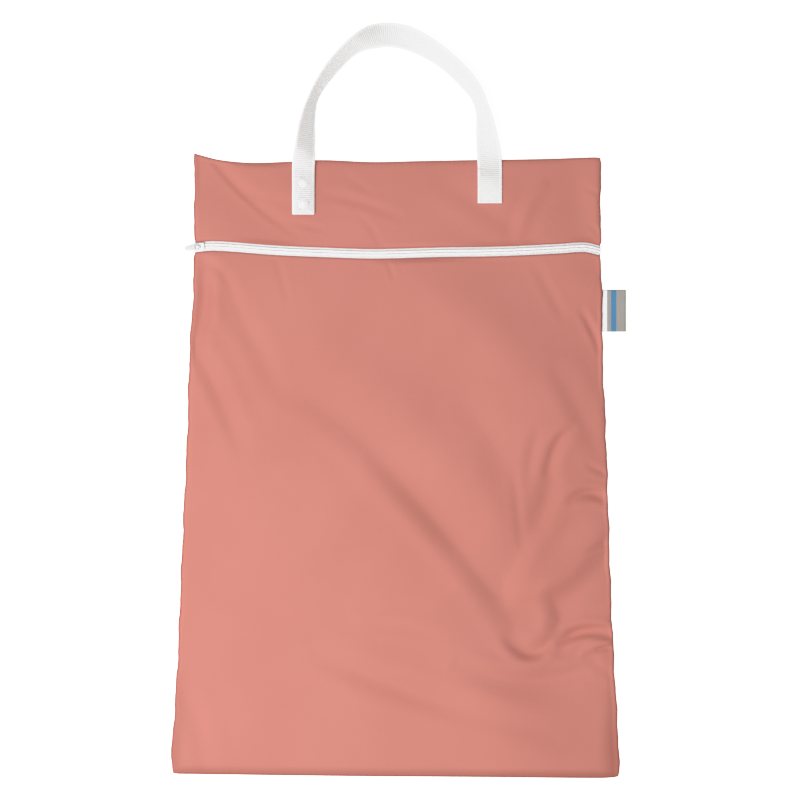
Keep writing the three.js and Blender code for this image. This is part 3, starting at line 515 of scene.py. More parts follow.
# %% Mottling: two tones of one dye in soft patches, with fine speckle
mottle_group, given, result = new_group(
    "mottle", [("Place", VECTOR, (0, 0, 0)), ("Tone A", COLOR, (0.5, 0.5, 0.5, 1)),
               ("Tone B", COLOR, (0.5, 0.5, 0.5, 1)), ("Patch", FLOAT, 12.0),
               ("Speckle", FLOAT, 900.0), ("Speckle share", FLOAT, 0.3)],
    [("Color", COLOR), ("Mask", FLOAT)])
patches = add(mottle_group, "ShaderNodeTexNoise", Vector=given.outputs["Place"],
              Scale=given.outputs["Patch"], Detail=3.0, Roughness=0.5)
speckles = add(mottle_group, "ShaderNodeTexNoise", Vector=given.outputs["Place"],
               Scale=given.outputs["Speckle"], Detail=2.0, Roughness=0.6)
patch_mask = add(mottle_group, "ShaderNodeMapRange", Value=patches.outputs["Fac"],
                 From_Min=0.35, From_Max=0.65)
mask = add(mottle_group, "ShaderNodeMix", set_data_type="FLOAT",
           _0=given.outputs["Speckle share"], _2=patch_mask.outputs["Result"],
           _3=speckles.outputs["Fac"])
tone = add(mottle_group, "ShaderNodeMix", set_data_type="RGBA", _0=mask.outputs[0],
           _6=given.outputs["Tone A"], _7=given.outputs["Tone B"])
mottle_group.links.new(tone.outputs[2], result.inputs["Color"])
mottle_group.links.new(mask.outputs[0], result.inputs["Mask"])
print("groups:", [g.name for g in bpy.data.node_groups])

# %% [markdown]
# ## Materials
# Each material has one Principled shader. Its colour comes from the mottling, and its
# normal from the weave. Values that are the same all over sit on the shader itself.

# %% Helpers for materials


def new_material(name, **values):
    material = bpy.data.materials.new(name)
    material.use_nodes = True
    tree = material.node_tree
    shader = tree.nodes["Principled BSDF"]
    for key, value in values.items():
        shader.inputs[key.replace("_", " ")].default_value = value
    return material, tree, shader


def use_group(tree, group, **inputs):
    node = tree.nodes.new("ShaderNodeGroup")
    node.node_tree = group
    for name, value in inputs.items():
        key = name.replace("_", " ")
        if isinstance(value, bpy.types.NodeSocket):
            tree.links.new(value, node.inputs[key])
        else:
            node.inputs[key].default_value = value
    return node


def bump(tree, shader, height, distance, strength=1.0, after=None):
    node = add(tree, "ShaderNodeBump", Height=height, Distance=distance, Strength=strength)
    if after is not None:
        tree.links.new(after.outputs[0], node.inputs["Normal"])
    tree.links.new(node.outputs[0], shader.inputs["Normal"])
    return node


def solid_place(tree):
    return add(tree, "ShaderNodeTexCoord").outputs["Object"]


def cloth_place(tree):
    return add(tree, "ShaderNodeUVMap", set_uv_map="cloth").outputs["UV"]


# %% [markdown]
# ### Coral cloth
# The cloth is a thin polyester knit with a waterproof film on its inner side. It is dyed
# right through, and has fine columns of stitches and hardly any gloss. Two masks paint
# shade into its colour: a thin dark rim where the turned seam and the zip's lip roll away,
# and a wider band along the bottom seam, up the right side and low on the left side,
# deeper towards the right.

# %% Coral cloth
CORAL_A = (0.575, 0.221, 0.182, 1)
CORAL_B = (0.54, 0.203, 0.163, 1)
# Painted shade: the band inside the seams and the dark rim at the turned edges
CORAL_SEAM_SHADE = (0.40, 0.145, 0.112, 1)
CORAL_RIM_SHADE = (0.32, 0.065, 0.045, 1)

coral, tree, shader = new_material(
    "coral_knit", Roughness=0.7, Sheen_Weight=0.04, Sheen_Roughness=0.45,
    Specular_IOR_Level=0.12)
dye = use_group(tree, mottle_group, Place=solid_place(tree), Tone_A=CORAL_A, Tone_B=CORAL_B,
                Patch=9.0, Speckle=1400.0, Speckle_share=0.3)
# Painted shade over the dye: first the band inside the seams, then the dark rim at the edges and
# the zip's lip
band = add(tree, "ShaderNodeAttribute", set_attribute_name="band")
banded = add(tree, "ShaderNodeMix", set_data_type="RGBA", _0=band.outputs["Fac"],
             _6=dye.outputs["Color"], _7=CORAL_SEAM_SHADE)
edge = add(tree, "ShaderNodeAttribute", set_attribute_name="edge")
dye_and_shade = add(tree, "ShaderNodeMix", set_data_type="RGBA", _0=edge.outputs["Fac"],
           _6=banded.outputs[2], _7=CORAL_RIM_SHADE)
tree.links.new(dye_and_shade.outputs[2], shader.inputs["Base Color"])
stitches = use_group(tree, knit_group, Place=cloth_place(tree), Wale=0.0009, Course=0.0007)
knit_bump = bump(tree, shader, stitches.outputs["Height"], 0.00006, 0.6)
crumple = add(tree, "ShaderNodeTexNoise", Vector=solid_place(tree), Scale=160.0, Detail=3.0)
bump(tree, shader, crumple.outputs["Fac"], 0.0003, 0.5, after=knit_bump)

# %% [markdown]
# ### White tape, webbing and thread
# The tape and the webbing are woven from bright white polyester. The webbing's thick ribs
# are modelled, so its material only has the fine yarns that lie across them, and painted
# shade in the grooves between the ribs.

# %% Whites


def woven_white(name, warp, weft, depth, tones, roughness=0.6):
    material, tree, shader = new_material(
        name, Roughness=roughness, Sheen_Weight=0.1, Specular_IOR_Level=0.3,
        Subsurface_Weight=0.5, Subsurface_Radius=(1, 1, 1), Subsurface_Scale=0.003)
    dye = use_group(tree, mottle_group, Place=solid_place(tree), Tone_A=tones[0],
                    Tone_B=tones[1], Patch=40.0, Speckle=1800.0, Speckle_share=0.5)
    tree.links.new(dye.outputs["Color"], shader.inputs["Base Color"])
    yarns = use_group(tree, weave_group, Place=cloth_place(tree), Warp=warp, Weft=weft)
    bump(tree, shader, yarns.outputs["Height"], depth, 0.8)
    return material


TAPE_WHITES = ((0.92, 0.92, 0.92, 1), (0.88, 0.885, 0.89, 1))
SELVEDGE_WHITES = ((0.94, 0.945, 0.95, 1), (0.91, 0.915, 0.92, 1))
# The colour of the painted shade in the webbing's grooves
GROOVE_SHADE_GREY = (0.67, 0.67, 0.675, 1)
tape_white = woven_white("zip_tape_weave", 0.0006, 0.0005, 0.0001, TAPE_WHITES)
webbing_white = woven_white("webbing_weave", 0.0009, 0.002, 0.00012, SELVEDGE_WHITES)

# Painted shade in the grooves between the webbing's ribs, where little light gets in
tree = webbing_white.node_tree
shader = tree.nodes["Principled BSDF"]
lit = shader.inputs["Base Color"].links[0].from_socket
groove = add(tree, "ShaderNodeAttribute", set_attribute_name="groove")
groove_shaded = add(tree, "ShaderNodeMix", set_data_type="RGBA", _0=groove.outputs["Fac"], _6=lit,
              _7=GROOVE_SHADE_GREY)
tree.links.new(groove_shaded.outputs[2], shader.inputs["Base Color"])

# %% Coil, thread, slider and snap plastics


def moulded(name, tones, roughness, coat=0.0, grain=0.00004, **values):
    material, tree, shader = new_material(
        name, Roughness=roughness, Coat_Weight=coat, **values)
    place = solid_place(tree)
    dye = use_group(tree, mottle_group, Place=place, Tone_A=tones[0], Tone_B=tones[1],
                    Patch=180.0, Speckle=2500.0, Speckle_share=0.4)
    tree.links.new(dye.outputs["Color"], shader.inputs["Base Color"])
    pits = add(tree, "ShaderNodeTexNoise", Vector=place, Scale=900.0, Detail=2.0)
    bump(tree, shader, pits.outputs["Fac"], grain, 0.5)
    return material


coil_nylon = moulded("coil_nylon", ((0.93, 0.93, 0.93, 1), (0.89, 0.895, 0.90, 1)), 0.35,
                     Specular_IOR_Level=0.45)
slider_enamel = moulded("slider_enamel", ((0.84, 0.85, 0.86, 1), (0.78, 0.79, 0.80, 1)),
                        0.28, coat=0.4)
pull_grey = moulded("pull_rubber", ((0.68, 0.69, 0.69, 1), (0.60, 0.61, 0.61, 1)), 0.5)
snap_resin = moulded("snap_resin", ((0.86, 0.86, 0.86, 1), (0.83, 0.83, 0.835, 1)), 0.45,
                     grain=0.00002, Subsurface_Weight=0.4, Subsurface_Radius=(1, 1, 1),
                     Subsurface_Scale=0.002)
thread_white = moulded("thread_white", ((0.85, 0.85, 0.85, 1), (0.76, 0.76, 0.77, 1)), 0.55)
print("materials:", len(bpy.data.materials))

# %% [markdown]
# ## Making a sheet of cloth
# A cut piece of cloth starts as a flat grid. Each point is moved to its place on the bag,
# and the grid keeps its flat measure as a UV map, so that the knit follows the cloth. A
# Solidify modifier then gives it the cloth's thickness on its inner side.

# %% Helpers for cloth
KNIT_THICKNESS = 0.0007


def object_from(bm, name, materials, body="bag", smooth=True):
    mesh = bpy.data.meshes.new(name)
    for face in bm.faces:
        face.smooth = smooth
    bm.to_mesh(mesh)
    bm.free()
    piece = bpy.data.objects.new(name, mesh)
    bpy.context.scene.collection.objects.link(piece)
    for material in materials:
        mesh.materials.append(material)
    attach(piece, body)
    return piece


def grid_shares(bm):
    """How far across and how far down each point of a fresh grid is, from 0 to 1."""
    across = np.array([(vert.co.x + 1) / 2 for vert in bm.verts])
    down = np.array([(1 - vert.co.y) / 2 for vert in bm.verts])
    return across, down


def set_flat_measure(bm, flat_x, flat_y):
    """Writes the cloth's flat measure, in metres, as the UV map named cloth."""
    layer = bm.loops.layers.uv.new("cloth")
    for face in bm.faces:
        for corner in face.loops:
            n = corner.vert.index
            corner[layer].uv = (flat_x[n] * MM, flat_y[n] * MM)


def set_attribute(bm, name, values):
    layer = bm.verts.layers.float.new(name)
    for vert in bm.verts:
        vert[layer] = float(values[vert.index])


def move_points(bm, x, y, z):
    for vert, a, b, c in zip(bm.verts, x, y, z):
        vert.co = (a * MM, b * MM, c * MM)


def thicken(piece, thickness, offset=-1.0):
    modifier = piece.modifiers.new("thickness", "SOLIDIFY")
    modifier.thickness = thickness
    modifier.offset = offset
    modifier.use_rim = True
    return modifier


def crowd(share, start, end, seam_steps, steps, seam_share):
    """Stops from start to end, with a few close ones over each end's seam_share."""
    a = seam_steps / steps
    keys = [0, a, 1 - a, 1]
    spread = np.interp(share, keys, [0, 1, 2, 3])
    first = np.clip(spread, 0, 1) ** 2 * seam_share
    last = 1 - np.clip(3 - spread, 0, 1) ** 2 * seam_share
    middle = lerp(seam_share, 1 - seam_share, np.clip(spread - 1, 0, 1))
    t = np.where(spread <= 1, first, np.where(spread >= 2, last, middle))
    return lerp(start, end, t)


# %% [markdown]
# ## The front and the header
# The front of the bag is two sheets, one on either side of the zip. Both use the same
# function, so a fold that starts in the header goes on below the zip. The cloth's edge at
# the zip is turned under, so it dips in a small round lip, and at the seams it goes down
# to the back sheet.

# %% Front and header
COLUMNS = 168
FRONT_ROWS = 200
HEADER_ROWS = 44
SEAM_STEPS = 9
LIP = 1.6  # reach of the turned-under edge at the zip
LIP_DROP = 0.7
EDGE_REACH = 1.3  # the painted shade at the seam fades over this
# The painted rim shade along the zip's lip is this share of the seam's
LIP_TONE = 0.55
TOP_TONE = 0.5  # the share of it that the top edge shows
TOP_TONE_REACH = 0.02
# The band of painted shade inside the seams, deeper towards the right
BAND_TONE = (0.75, 1.0)  # towards the left and towards the right
LEFT_BAND = 18
LEFT_BAND_DOWN = (0.78, 0.98)
LEFT_BAND_TONE = 0.5
BOTTOM_BAND = (2, 11)  # painted shade along the bottom seam
RIGHT_BAND = (5, 26)  # and inside the right seam, wider towards the corner
RIGHT_BAND_DOWN = (0.78, 0.98)


def painted_seam_shade(u, v, side_gap):
    """Where painted shade darkens the cloth: along the bottom, up the right and low on the left.
    """
    bottom = 1 - smoothstep((1 - v) * BAG_HEIGHT, *BOTTOM_BAND)
    growth = smoothstep(v, *RIGHT_BAND_DOWN)
    right = (1 - smoothstep(side_gap, 0, lerp(*RIGHT_BAND, growth))) * growth * (u > 0)
    left = (1 - smoothstep(side_gap, 0, LEFT_BAND)) * smoothstep(v, *LEFT_BAND_DOWN) * (u < 0)
    return np.maximum(lerp(*BAND_TONE, smoothstep(u, 0, 1)) * np.maximum(bottom, right),
                      LEFT_BAND_TONE * left)


def front_sheet(name, start_v, end_v, rows, zip_at_start, nodes):
    bm = bmesh.new()
    bmesh.ops.create_grid(bm, x_segments=COLUMNS, y_segments=rows, size=1)
    bm.verts.ensure_lookup_table()
    across, down = grid_shares(bm)
    u = crowd(across, -1, 1, SEAM_STEPS, COLUMNS, ROLL_WIDTH / TOP_WIDTH)
    v0, v1 = start_v(u), end_v(u)
    length = float(np.mean((v1 - v0) * BAG_HEIGHT))
    w = crowd(down, 0, 1, SEAM_STEPS, rows, ROLL_WIDTH / length)
    v = lerp(v0, v1, w)
    x, y, side_gap, end_gap = plan(u, v)
    z = skin(u, v, detail=True)
    from_zip = (w if zip_at_start else 1 - w) * length
    z = z - LIP_DROP * (1 - roll(from_zip, LIP))
    seam_gap = np.minimum(side_gap, end_gap)
    z = np.where(seam_gap < 1e-6, z - CLEARANCE, z)
    move_points(bm, x, y, z)
    set_flat_measure(bm, x, y)
    # Painted shade: a dark rim at the seams and the zip's lip, and a band inside the seams
    below_top = lerp(TOP_TONE, 1, smoothstep(v, 0, TOP_TONE_REACH))
    seam_tone = np.exp(-((seam_gap / EDGE_REACH) ** 2)) * below_top
    lip_tone = LIP_TONE * np.exp(-((from_zip / EDGE_REACH) ** 2))
    set_attribute(bm, "edge", np.maximum(seam_tone, lip_tone))
    set_attribute(bm, "band", painted_seam_shade(u, v, side_gap))
    piece = object_from(bm, name, [coral])
    thicken(piece, KNIT_THICKNESS)
    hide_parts(*nodes)
    print(name, "faces:", len(piece.data.polygons), "length, mm:", round(length, 1))
    return piece


front_cloth = front_sheet(
    "front_cloth", lambda u: down_at(u, zip_y(u) - ZIP_SHOW / 2), lambda u: 1 + 0 * u,
    FRONT_ROWS, True, ["front_panel"])
header_cloth = front_sheet(
    "header_cloth", lambda u: 0 * u, lambda u: down_at(u, zip_y(u) + ZIP_SHOW / 2),
    HEADER_ROWS, False, ["header_panel"])

# %% [markdown]
# ## The back
# The back lies flat on the table, so its folds are slight and all go up, and its edge turns
# up to meet the front's at the seam.

# %% Back
BACK_ROWS = 150
BACK_COLUMNS = 110
BACK_ROLL = 3.0
BACK_LIFT = 0.5
BACK_SEAM_STEPS = 6
BACK_FOLD_SHARE = 0.25
BACK_FLAT_RIM = (2, 25)

bm = bmesh.new()
bmesh.ops.create_grid(bm, x_segments=BACK_COLUMNS, y_segments=BACK_ROWS, size=1)
bm.verts.ensure_lookup_table()
across, down = grid_shares(bm)
u = crowd(across, -1, 1, BACK_SEAM_STEPS, BACK_COLUMNS, BACK_ROLL / TOP_WIDTH)
v = crowd(down, 0, 1, BACK_SEAM_STEPS, BACK_ROWS, BACK_ROLL / BAG_HEIGHT)
x, y, side_gap, end_gap = plan(u, v)
seam_gap = np.minimum(side_gap, end_gap)
inside = smoothstep(seam_gap, *BACK_FLAT_RIM)
wrinkles = np.maximum(0, fold_depth(-x, y) * BACK_FOLD_SHARE + unevenness(x, y))
z = CLOTH * (1 - roll(side_gap, BACK_ROLL) * roll(end_gap, BACK_ROLL)) + inside * (
    BACK_LIFT * wrinkles)
move_points(bm, x, y, z)
set_flat_measure(bm, x, y)
# Painted shade: the dark rim at the seam and the band inside it, as on the front
set_attribute(bm, "edge", np.exp(-((seam_gap / EDGE_REACH) ** 2)))
set_attribute(bm, "band", painted_seam_shade(u, v, side_gap))
bmesh.ops.reverse_faces(bm, faces=bm.faces)
back_cloth = object_from(bm, "back_cloth", [coral])
thicken(back_cloth, KNIT_THICKNESS)
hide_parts("back_panel")
print("back faces:", len(back_cloth.data.polygons))

# %% [markdown]
# ## The zip's tapes
# Each half of the zip has a woven tape that is sewn under the cloth's edge. It shows as a
# narrow white border between the cloth and the coil.

# %% Zip tapes
COIL_WIDTH = 2.85
COIL_HEIGHT = 1.2
TAPE_DROP = 0.9
TAPE_INNER = 0.35
DIVIDER_ROOM = 1.5
SLIDER_END = 14  # from the left seam
DIVIDER_BLEND = 3
TAPE_COLUMNS = 300
TAPE_ROWS = 12
TAPE_THICKNESS = 0.0006


def zip_tape(name, side, node):
    bm = bmesh.new()
    bmesh.ops.create_grid(bm, x_segments=TAPE_COLUMNS, y_segments=TAPE_ROWS, size=1)
    bm.verts.ensure_lookup_table()
    across, down = grid_shares(bm)
    u = lerp(-1, 1, across)
    from_left = (u + 1) / 2 * TOP_WIDTH
    inner = lerp(DIVIDER_ROOM, TAPE_INNER, smoothstep(
        from_left, SLIDER_END - DIVIDER_BLEND, SLIDER_END))
    offset = lerp(TAPE_REACH, inner, down if side > 0 else 1 - down)
    y = zip_y(u) + side * offset
    v = down_at(u, y)
    x = across_x(u, v, y)
    z = skin(u, v) - TAPE_DROP
    move_points(bm, x, y, z)
    set_flat_measure(bm, x, y)
    piece = object_from(bm, name, [tape_white])
    thicken(piece, TAPE_THICKNESS)
    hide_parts(node)
    return piece


zip_tape("tape_upper", 1, "zip_tape_upper")
zip_tape("tape_lower", -1, "zip_tape_lower")

# %% [markdown]
# ## The zip's coil
# Each half is one stiff nylon thread wound into a flattened spiral, with some 400 turns.
# A curve with a round bevel makes it: its points go round the spiral, and the other half
# is wound half a turn later, so that the turns lie between each other at the middle.

# %% Zip coil
COIL_PITCH = 1.0
COIL_THREAD = 0.44  # radius of the nylon thread
COIL_POINTS = 12  # a turn
COIL_CROSS = 0.15  # how far the turns reach over the middle line
COIL_START = 2.8  # from the left seam, behind the slider's nose
COIL_END = 0.8


def zip_coil(name, side, node):
    v_zip = float(down_at(-1.0, zip_y(-1.0)))
    x0 = float(left_x(v_zip)) + COIL_START
    x1 = float(right_x(v_zip)) - COIL_END
    turns = int((x1 - x0) / COIL_PITCH)
    t = np.arange(turns * COIL_POINTS + 1) / COIL_POINTS
    x = x0 + (t + (0.5 if side < 0 else 0)) * COIL_PITCH
    u = across_at(x, v_zip)
    middle = (COIL_WIDTH + CLEARANCE / 2 - COIL_CROSS) / 2
    reach = (COIL_WIDTH + CLEARANCE / 2 + COIL_CROSS) / 2 - COIL_THREAD
    rise = COIL_HEIGHT / 2 - COIL_THREAD
    y = zip_y(u) + side * (middle - reach * np.cos(math.tau * t))
    base = skin(u, down_at(u, zip_y(u))) - TAPE_DROP + CLEARANCE / 2
    z = base + COIL_HEIGHT / 2 + rise * np.sin(math.tau * t)
    curve = bpy.data.curves.new(name, "CURVE")
    curve.dimensions = "3D"
    curve.bevel_depth = COIL_THREAD * MM
    curve.bevel_resolution = 1
    curve.use_fill_caps = True
    spline = curve.splines.new("POLY")
    spline.points.add(len(t) - 1)
    for point, a, b, c in zip(spline.points, x, y, z):
        point.co = (a * MM, b * MM, c * MM, 1)
    wire = bpy.data.objects.new(name + "_wire", curve)
    bpy.context.scene.collection.objects.link(wire)
    bpy.context.view_layer.update()
    mesh = bpy.data.meshes.new_from_object(wire.evaluated_get(
        bpy.context.evaluated_depsgraph_get()))
    bpy.data.objects.remove(wire)
    bm = bmesh.new()
    bm.from_mesh(mesh)
    bpy.data.meshes.remove(mesh)
    piece = object_from(bm, name, [])
    piece.data.materials.clear()
    piece.data.materials.append(coil_nylon)
    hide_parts(node)
    print(name, "turns:", turns, "faces:", len(piece.data.polygons))
    return piece


zip_coil("coil_upper", 1, "zip_coil_upper")
zip_coil("coil_lower", -1, "zip_coil_lower")

# %% [markdown]
# ## The slider and its pull
# Both are small cast parts with rounded edges. The solid model has their exact shapes with
# sharp edges, so each is a merged copy whose edges are bevelled.

# %% Slider and pull
FLAT_ANGLE = math.radians(3)
SHARP_ANGLE = math.radians(35)
SLIDER_EDGE = 0.0002
PULL_EDGE = 0.00012


def rounded_copy(node, name, width, material, body):
    bm = bmesh.new()
    bm.from_mesh(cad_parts[node].data)
    bmesh.ops.remove_doubles(bm, verts=bm.verts, dist=1e-6)
    bmesh.ops.dissolve_limit(bm, angle_limit=FLAT_ANGLE, verts=bm.verts,
                             edges=bm.edges)
    sharp = [e for e in bm.edges if e.is_manifold
             and e.calc_face_angle(0) > SHARP_ANGLE]
    bmesh.ops.bevel(bm, geom=sharp, offset=width, offset_type="OFFSET", segments=3,
                    profile=0.5, affect="EDGES", clamp_overlap=True, material=-1)
    piece = object_from(bm, name, [material], body=body)
    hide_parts(node)
    print(name, "faces:", len(piece.data.polygons))
    return piece


rounded_copy("zip_slider", "slider_body", SLIDER_EDGE, slider_enamel, "bag")
rounded_copy("zip_pull", "pull_tab", PULL_EDGE, pull_grey, "pull")

# %% [markdown]
# ## The webbing handle
# The handle is heavy webbing with a thick rib every two millimetres and a plain selvedge
# along both edges. It lies flat on the header, and its arch rests on the table with the
# outer edge standing up. A grid is wrapped round the section and carried along the same
# course as the solid, and every rib is real relief, so it shows from all sides.

# %% Course of the handle
STRAP_WIDTH = 25.4
STRAP_THICK = 1.5
STRAP_SPREAD = 192.8
STRAP_RISE = 130.4
STRAP_SHIFT = -0.9
LEFT_LEG = 55.9
RIGHT_LEG = 44
STRAP_LAND = 45
STRAP_TWIST_LIFT = 0.5
DRAPE_FROM = ROLL_WIDTH  # below the top edge it follows the cloth, wholly past the second
DRAPE_WHOLE = 2 * ROLL_WIDTH
DRAPE_LEVEL = 1.5 * ROLL_WIDTH
CUP = 2.5  # the left leg's edges bend down round the snaps by this
CUP_POWER = 4
CUP_NARROW = 0.07  # and so it looks narrower by this share
CUP_BLEND = 30
NARROW_BLEND = (-4, 20)  # from the bag's top edge
END_ROUND = 2.2  # the cut end's corners
END_FLARE = 0.5
END_DROP = 1.6  # below the lower snap it comes down to the cloth
END_DROP_LENGTH = 4.5
SNAP_BODY_HEIGHT = 2.4
LEFT_OVER = CLEARANCE + SNAP_BODY_HEIGHT + CLEARANCE
ARCH = {
    "across": [-1, -0.993, -0.984, -0.973, -0.962, -0.937, -0.9, -0.838, -0.753, -0.63,
               -0.501, -0.393, -0.286, -0.179, -0.071, 0.036, 0.143, 0.3, 0.466, 0.62,
               0.756, 0.852, 0.906, 0.934, 0.95, 0.966, 0.982, 0.995, 1],
    "up": [-0.06, 0.03, 0.1, 0.198, 0.294, 0.389, 0.484, 0.579, 0.675, 0.79, 0.885, 0.94,
           0.976, 0.996, 1, 0.988, 0.964, 0.908, 0.829, 0.736, 0.63, 0.532, 0.437, 0.37,
           0.294, 0.198, 0.103, 0.015, -0.06],
    "tilt": [0, 16, 34, 42, 50, 59, 66, 65, 60, 55, 51, 40, 20, 4, 0, 5, 17, 32, 41, 45, 48,
             56, 58, 53, 43, 31, 15, 2, 0],
}
ARCH["row"] = list(range(len(ARCH["up"])))
COURSE_STEPS = 4000
LEG_SHARE = 0.12  # of the steps, for each leg


def strap_course():
    """Length, x, y, heading and tilt along the webbing, evenly by length."""
    last = len(ARCH["row"]) - 1
    row = np.linspace(0, last, COURSE_STEPS)
    arch_x = STRAP_SHIFT + read(ARCH, "row", "across", row) * STRAP_SPREAD / 2
    arch_y = BAG_HEIGHT / 2 + read(ARCH, "row", "up", row) * STRAP_RISE
    arch_tilt = np.radians(read(ARCH, "row", "tilt", row))
    legs = int(COURSE_STEPS * LEG_SHARE)
    left_y = np.linspace(BAG_HEIGHT / 2 - LEFT_LEG, arch_y[0], legs, endpoint=False)
    right_y = np.linspace(arch_y[-1], BAG_HEIGHT / 2 - RIGHT_LEG, legs + 1)[1:]
    x = np.concatenate([np.full(legs, arch_x[0]), arch_x, np.full(legs, arch_x[-1])])
    y = np.concatenate([left_y, arch_y, right_y])
    tilt = np.concatenate([np.zeros(legs), arch_tilt, np.zeros(legs)])
    length = np.concatenate([[0], np.cumsum(np.hypot(np.diff(x), np.diff(y)))])
    heading = np.unwrap(np.arctan2(np.gradient(y, length), np.gradient(x, length)))
    return length, x, y, heading, tilt


course = strap_course()
STRAP_LENGTH = float(course[0][-1])


def strap_point(length, across, up):
    """Places on the webbing: along it, across towards its outer edge, and up from its middle."""
    x, y, heading, tilt = (np.interp(length, course[0], row) for row in course[1:])
    over = np.where(length < STRAP_LENGTH / 2, LEFT_OVER, CLEARANCE)
    top = top_y(across_at(x, 0 * x))
    landed = smoothstep(y, top, top + STRAP_LAND)
    draped = 1 - smoothstep(y, top - DRAPE_WHOLE, top - DRAPE_FROM)
    level_y = np.minimum(y, top - DRAPE_LEVEL)
    half = STRAP_WIDTH / 2
    cup = (1 - smoothstep(y, top - CUP_BLEND, top + ROLL_WIDTH)) * (length < STRAP_LENGTH / 2)
    from_end = np.clip(length / END_ROUND, 0, 1)
    rounded = END_ROUND * (1 - np.sqrt(1 - (1 - from_end) ** 2)) / half
    narrow = (1 - smoothstep(y - top, *NARROW_BLEND)) * (length < STRAP_LENGTH / 2)
    across = across * (1 - CUP_NARROW * narrow * (1 - END_FLARE * (1 - from_end)))
    across = across * (1 - rounded)
    fallen = cup * np.maximum(CUP * (across / half) ** CUP_POWER,
                              END_DROP * (1 - np.clip(length / END_DROP_LENGTH, 0, 1)))
    lying = CLEARANCE + half * np.sin(tilt) + STRAP_THICK / 2 * np.cos(tilt)
    carried = (skin_at(x, level_y) + over + STRAP_THICK / 2
               + half * np.sin(tilt) * STRAP_TWIST_LIFT)
    level = across * np.cos(tilt) - up * np.sin(tilt)
    px = x - np.sin(heading) * level
    py = y + np.cos(heading) * level
    rigid = lerp(carried, lying, landed) + across * np.sin(tilt) + up * np.cos(tilt)
    on_cloth = skin_at(px, np.minimum(py, level_y)) + over + STRAP_THICK / 2 + up
    return px, py, lerp(rigid, on_cloth, draped) - fallen


print("webbing, mm:", round(STRAP_LENGTH, 1))

# %% Webbing
RIB_PITCH = 2.0
RIB_DEPTH = 0.22
STEPS_PER_RIB = 6
SELVEDGE = 2.4
SELVEDGE_BLEND = 0.6
ACROSS_STEPS = 18
EDGE_STEPS = 4
SEWN_END = 27  # the right leg's end is sewn down over this length
SEWN_BLEND = 3
SEWN_RIBS = 0.45  # share of the ribs' depth that is left there
RIB_GREY = 0.3  # how much painted groove shade a rib's crest gets


def strap_section(share):
    """The webbing's section as across and up, once round from share 0 to 1."""
    half = STRAP_WIDTH / 2
    thick = STRAP_THICK / 2
    flat = half - thick
    count = 2 * (ACROSS_STEPS + EDGE_STEPS)
    spots = []
    for i in range(ACROSS_STEPS):
        spots.append((lerp(-flat, flat, i / ACROSS_STEPS), -thick))
    for i in range(EDGE_STEPS):
        turn = -math.pi / 2 + math.pi * i / EDGE_STEPS
        spots.append((flat + thick * math.cos(turn), thick * math.sin(turn)))
    for i in range(ACROSS_STEPS):
        spots.append((lerp(flat, -flat, i / ACROSS_STEPS), thick))
    for i in range(EDGE_STEPS):
        turn = math.pi / 2 + math.pi * i / EDGE_STEPS
        spots.append((-flat + thick * math.cos(turn), thick * math.sin(turn)))
    spots.append(spots[0])
    keys = np.arange(count + 1) / count
    across, up = np.array(spots).T
    return np.interp(share, keys, across), np.interp(share, keys, up)


ribs_long = int(STRAP_LENGTH / RIB_PITCH) * STEPS_PER_RIB
bm = bmesh.new()
bmesh.ops.create_grid(bm, x_segments=2 * (ACROSS_STEPS + EDGE_STEPS), y_segments=ribs_long,
                      size=1)
bm.verts.ensure_lookup_table()
round_share, down = grid_shares(bm)
length = (1 - down) * STRAP_LENGTH
across, up = strap_section(round_share)
ribbed = smoothstep(STRAP_WIDTH / 2 - np.abs(across), SELVEDGE - SELVEDGE_BLEND, SELVEDGE)
sewn_from = STRAP_LENGTH - SEWN_END
sewn = smoothstep(length, sewn_from - SEWN_BLEND, sewn_from)
depth = RIB_DEPTH * ribbed * lerp(1, SEWN_RIBS, sewn)
wave = 0.5 - 0.5 * np.cos(math.tau * length / RIB_PITCH)
up = up * (1 - depth / (STRAP_THICK / 2) * (1 - wave))
x, y, z = strap_point(length, across, up)
move_points(bm, x, y, z)
# Painted shade, full in the grooves and less on the crests and the sewn end
set_attribute(bm, "groove", ribbed * lerp(RIB_GREY, 1, (1 - wave) * lerp(1, SEWN_RIBS, sewn)))
set_flat_measure(bm, across + np.where(up > 0, 0, STRAP_WIDTH), length)
bmesh.ops.remove_doubles(bm, verts=bm.verts, dist=1e-7)
ends = [edge for edge in bm.edges if edge.is_boundary]
bmesh.ops.holes_fill(bm, edges=ends, sides=0)
bmesh.ops.recalc_face_normals(bm, faces=bm.faces)
webbing = object_from(bm, "webbing_handle", [webbing_white])
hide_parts("handle_strap")
print("webbing faces:", len(webbing.data.polygons))

# %% [markdown]
# ### The stitching on the handle
# The right leg is sewn to the header with a box of lock stitches, and both ends have a row
# where the cut end is turned under. A stitch is a small ellipsoid with two dozen faces,
# sunk half way into the webbing, and repeated along a line.

# %% Handle stitching
STITCH = 2.3
STITCH_GAP = 0.5
THREAD = 0.42
STITCH_SIDES = 6
STITCH_SPOTS = (0.1, 0.5, 0.9)  # its start, middle and end
STITCH_OVERLAP = 1.1
BOX_INSET = 2.2
BOX_LENGTH = 24
LEFT_ROW = 5.5


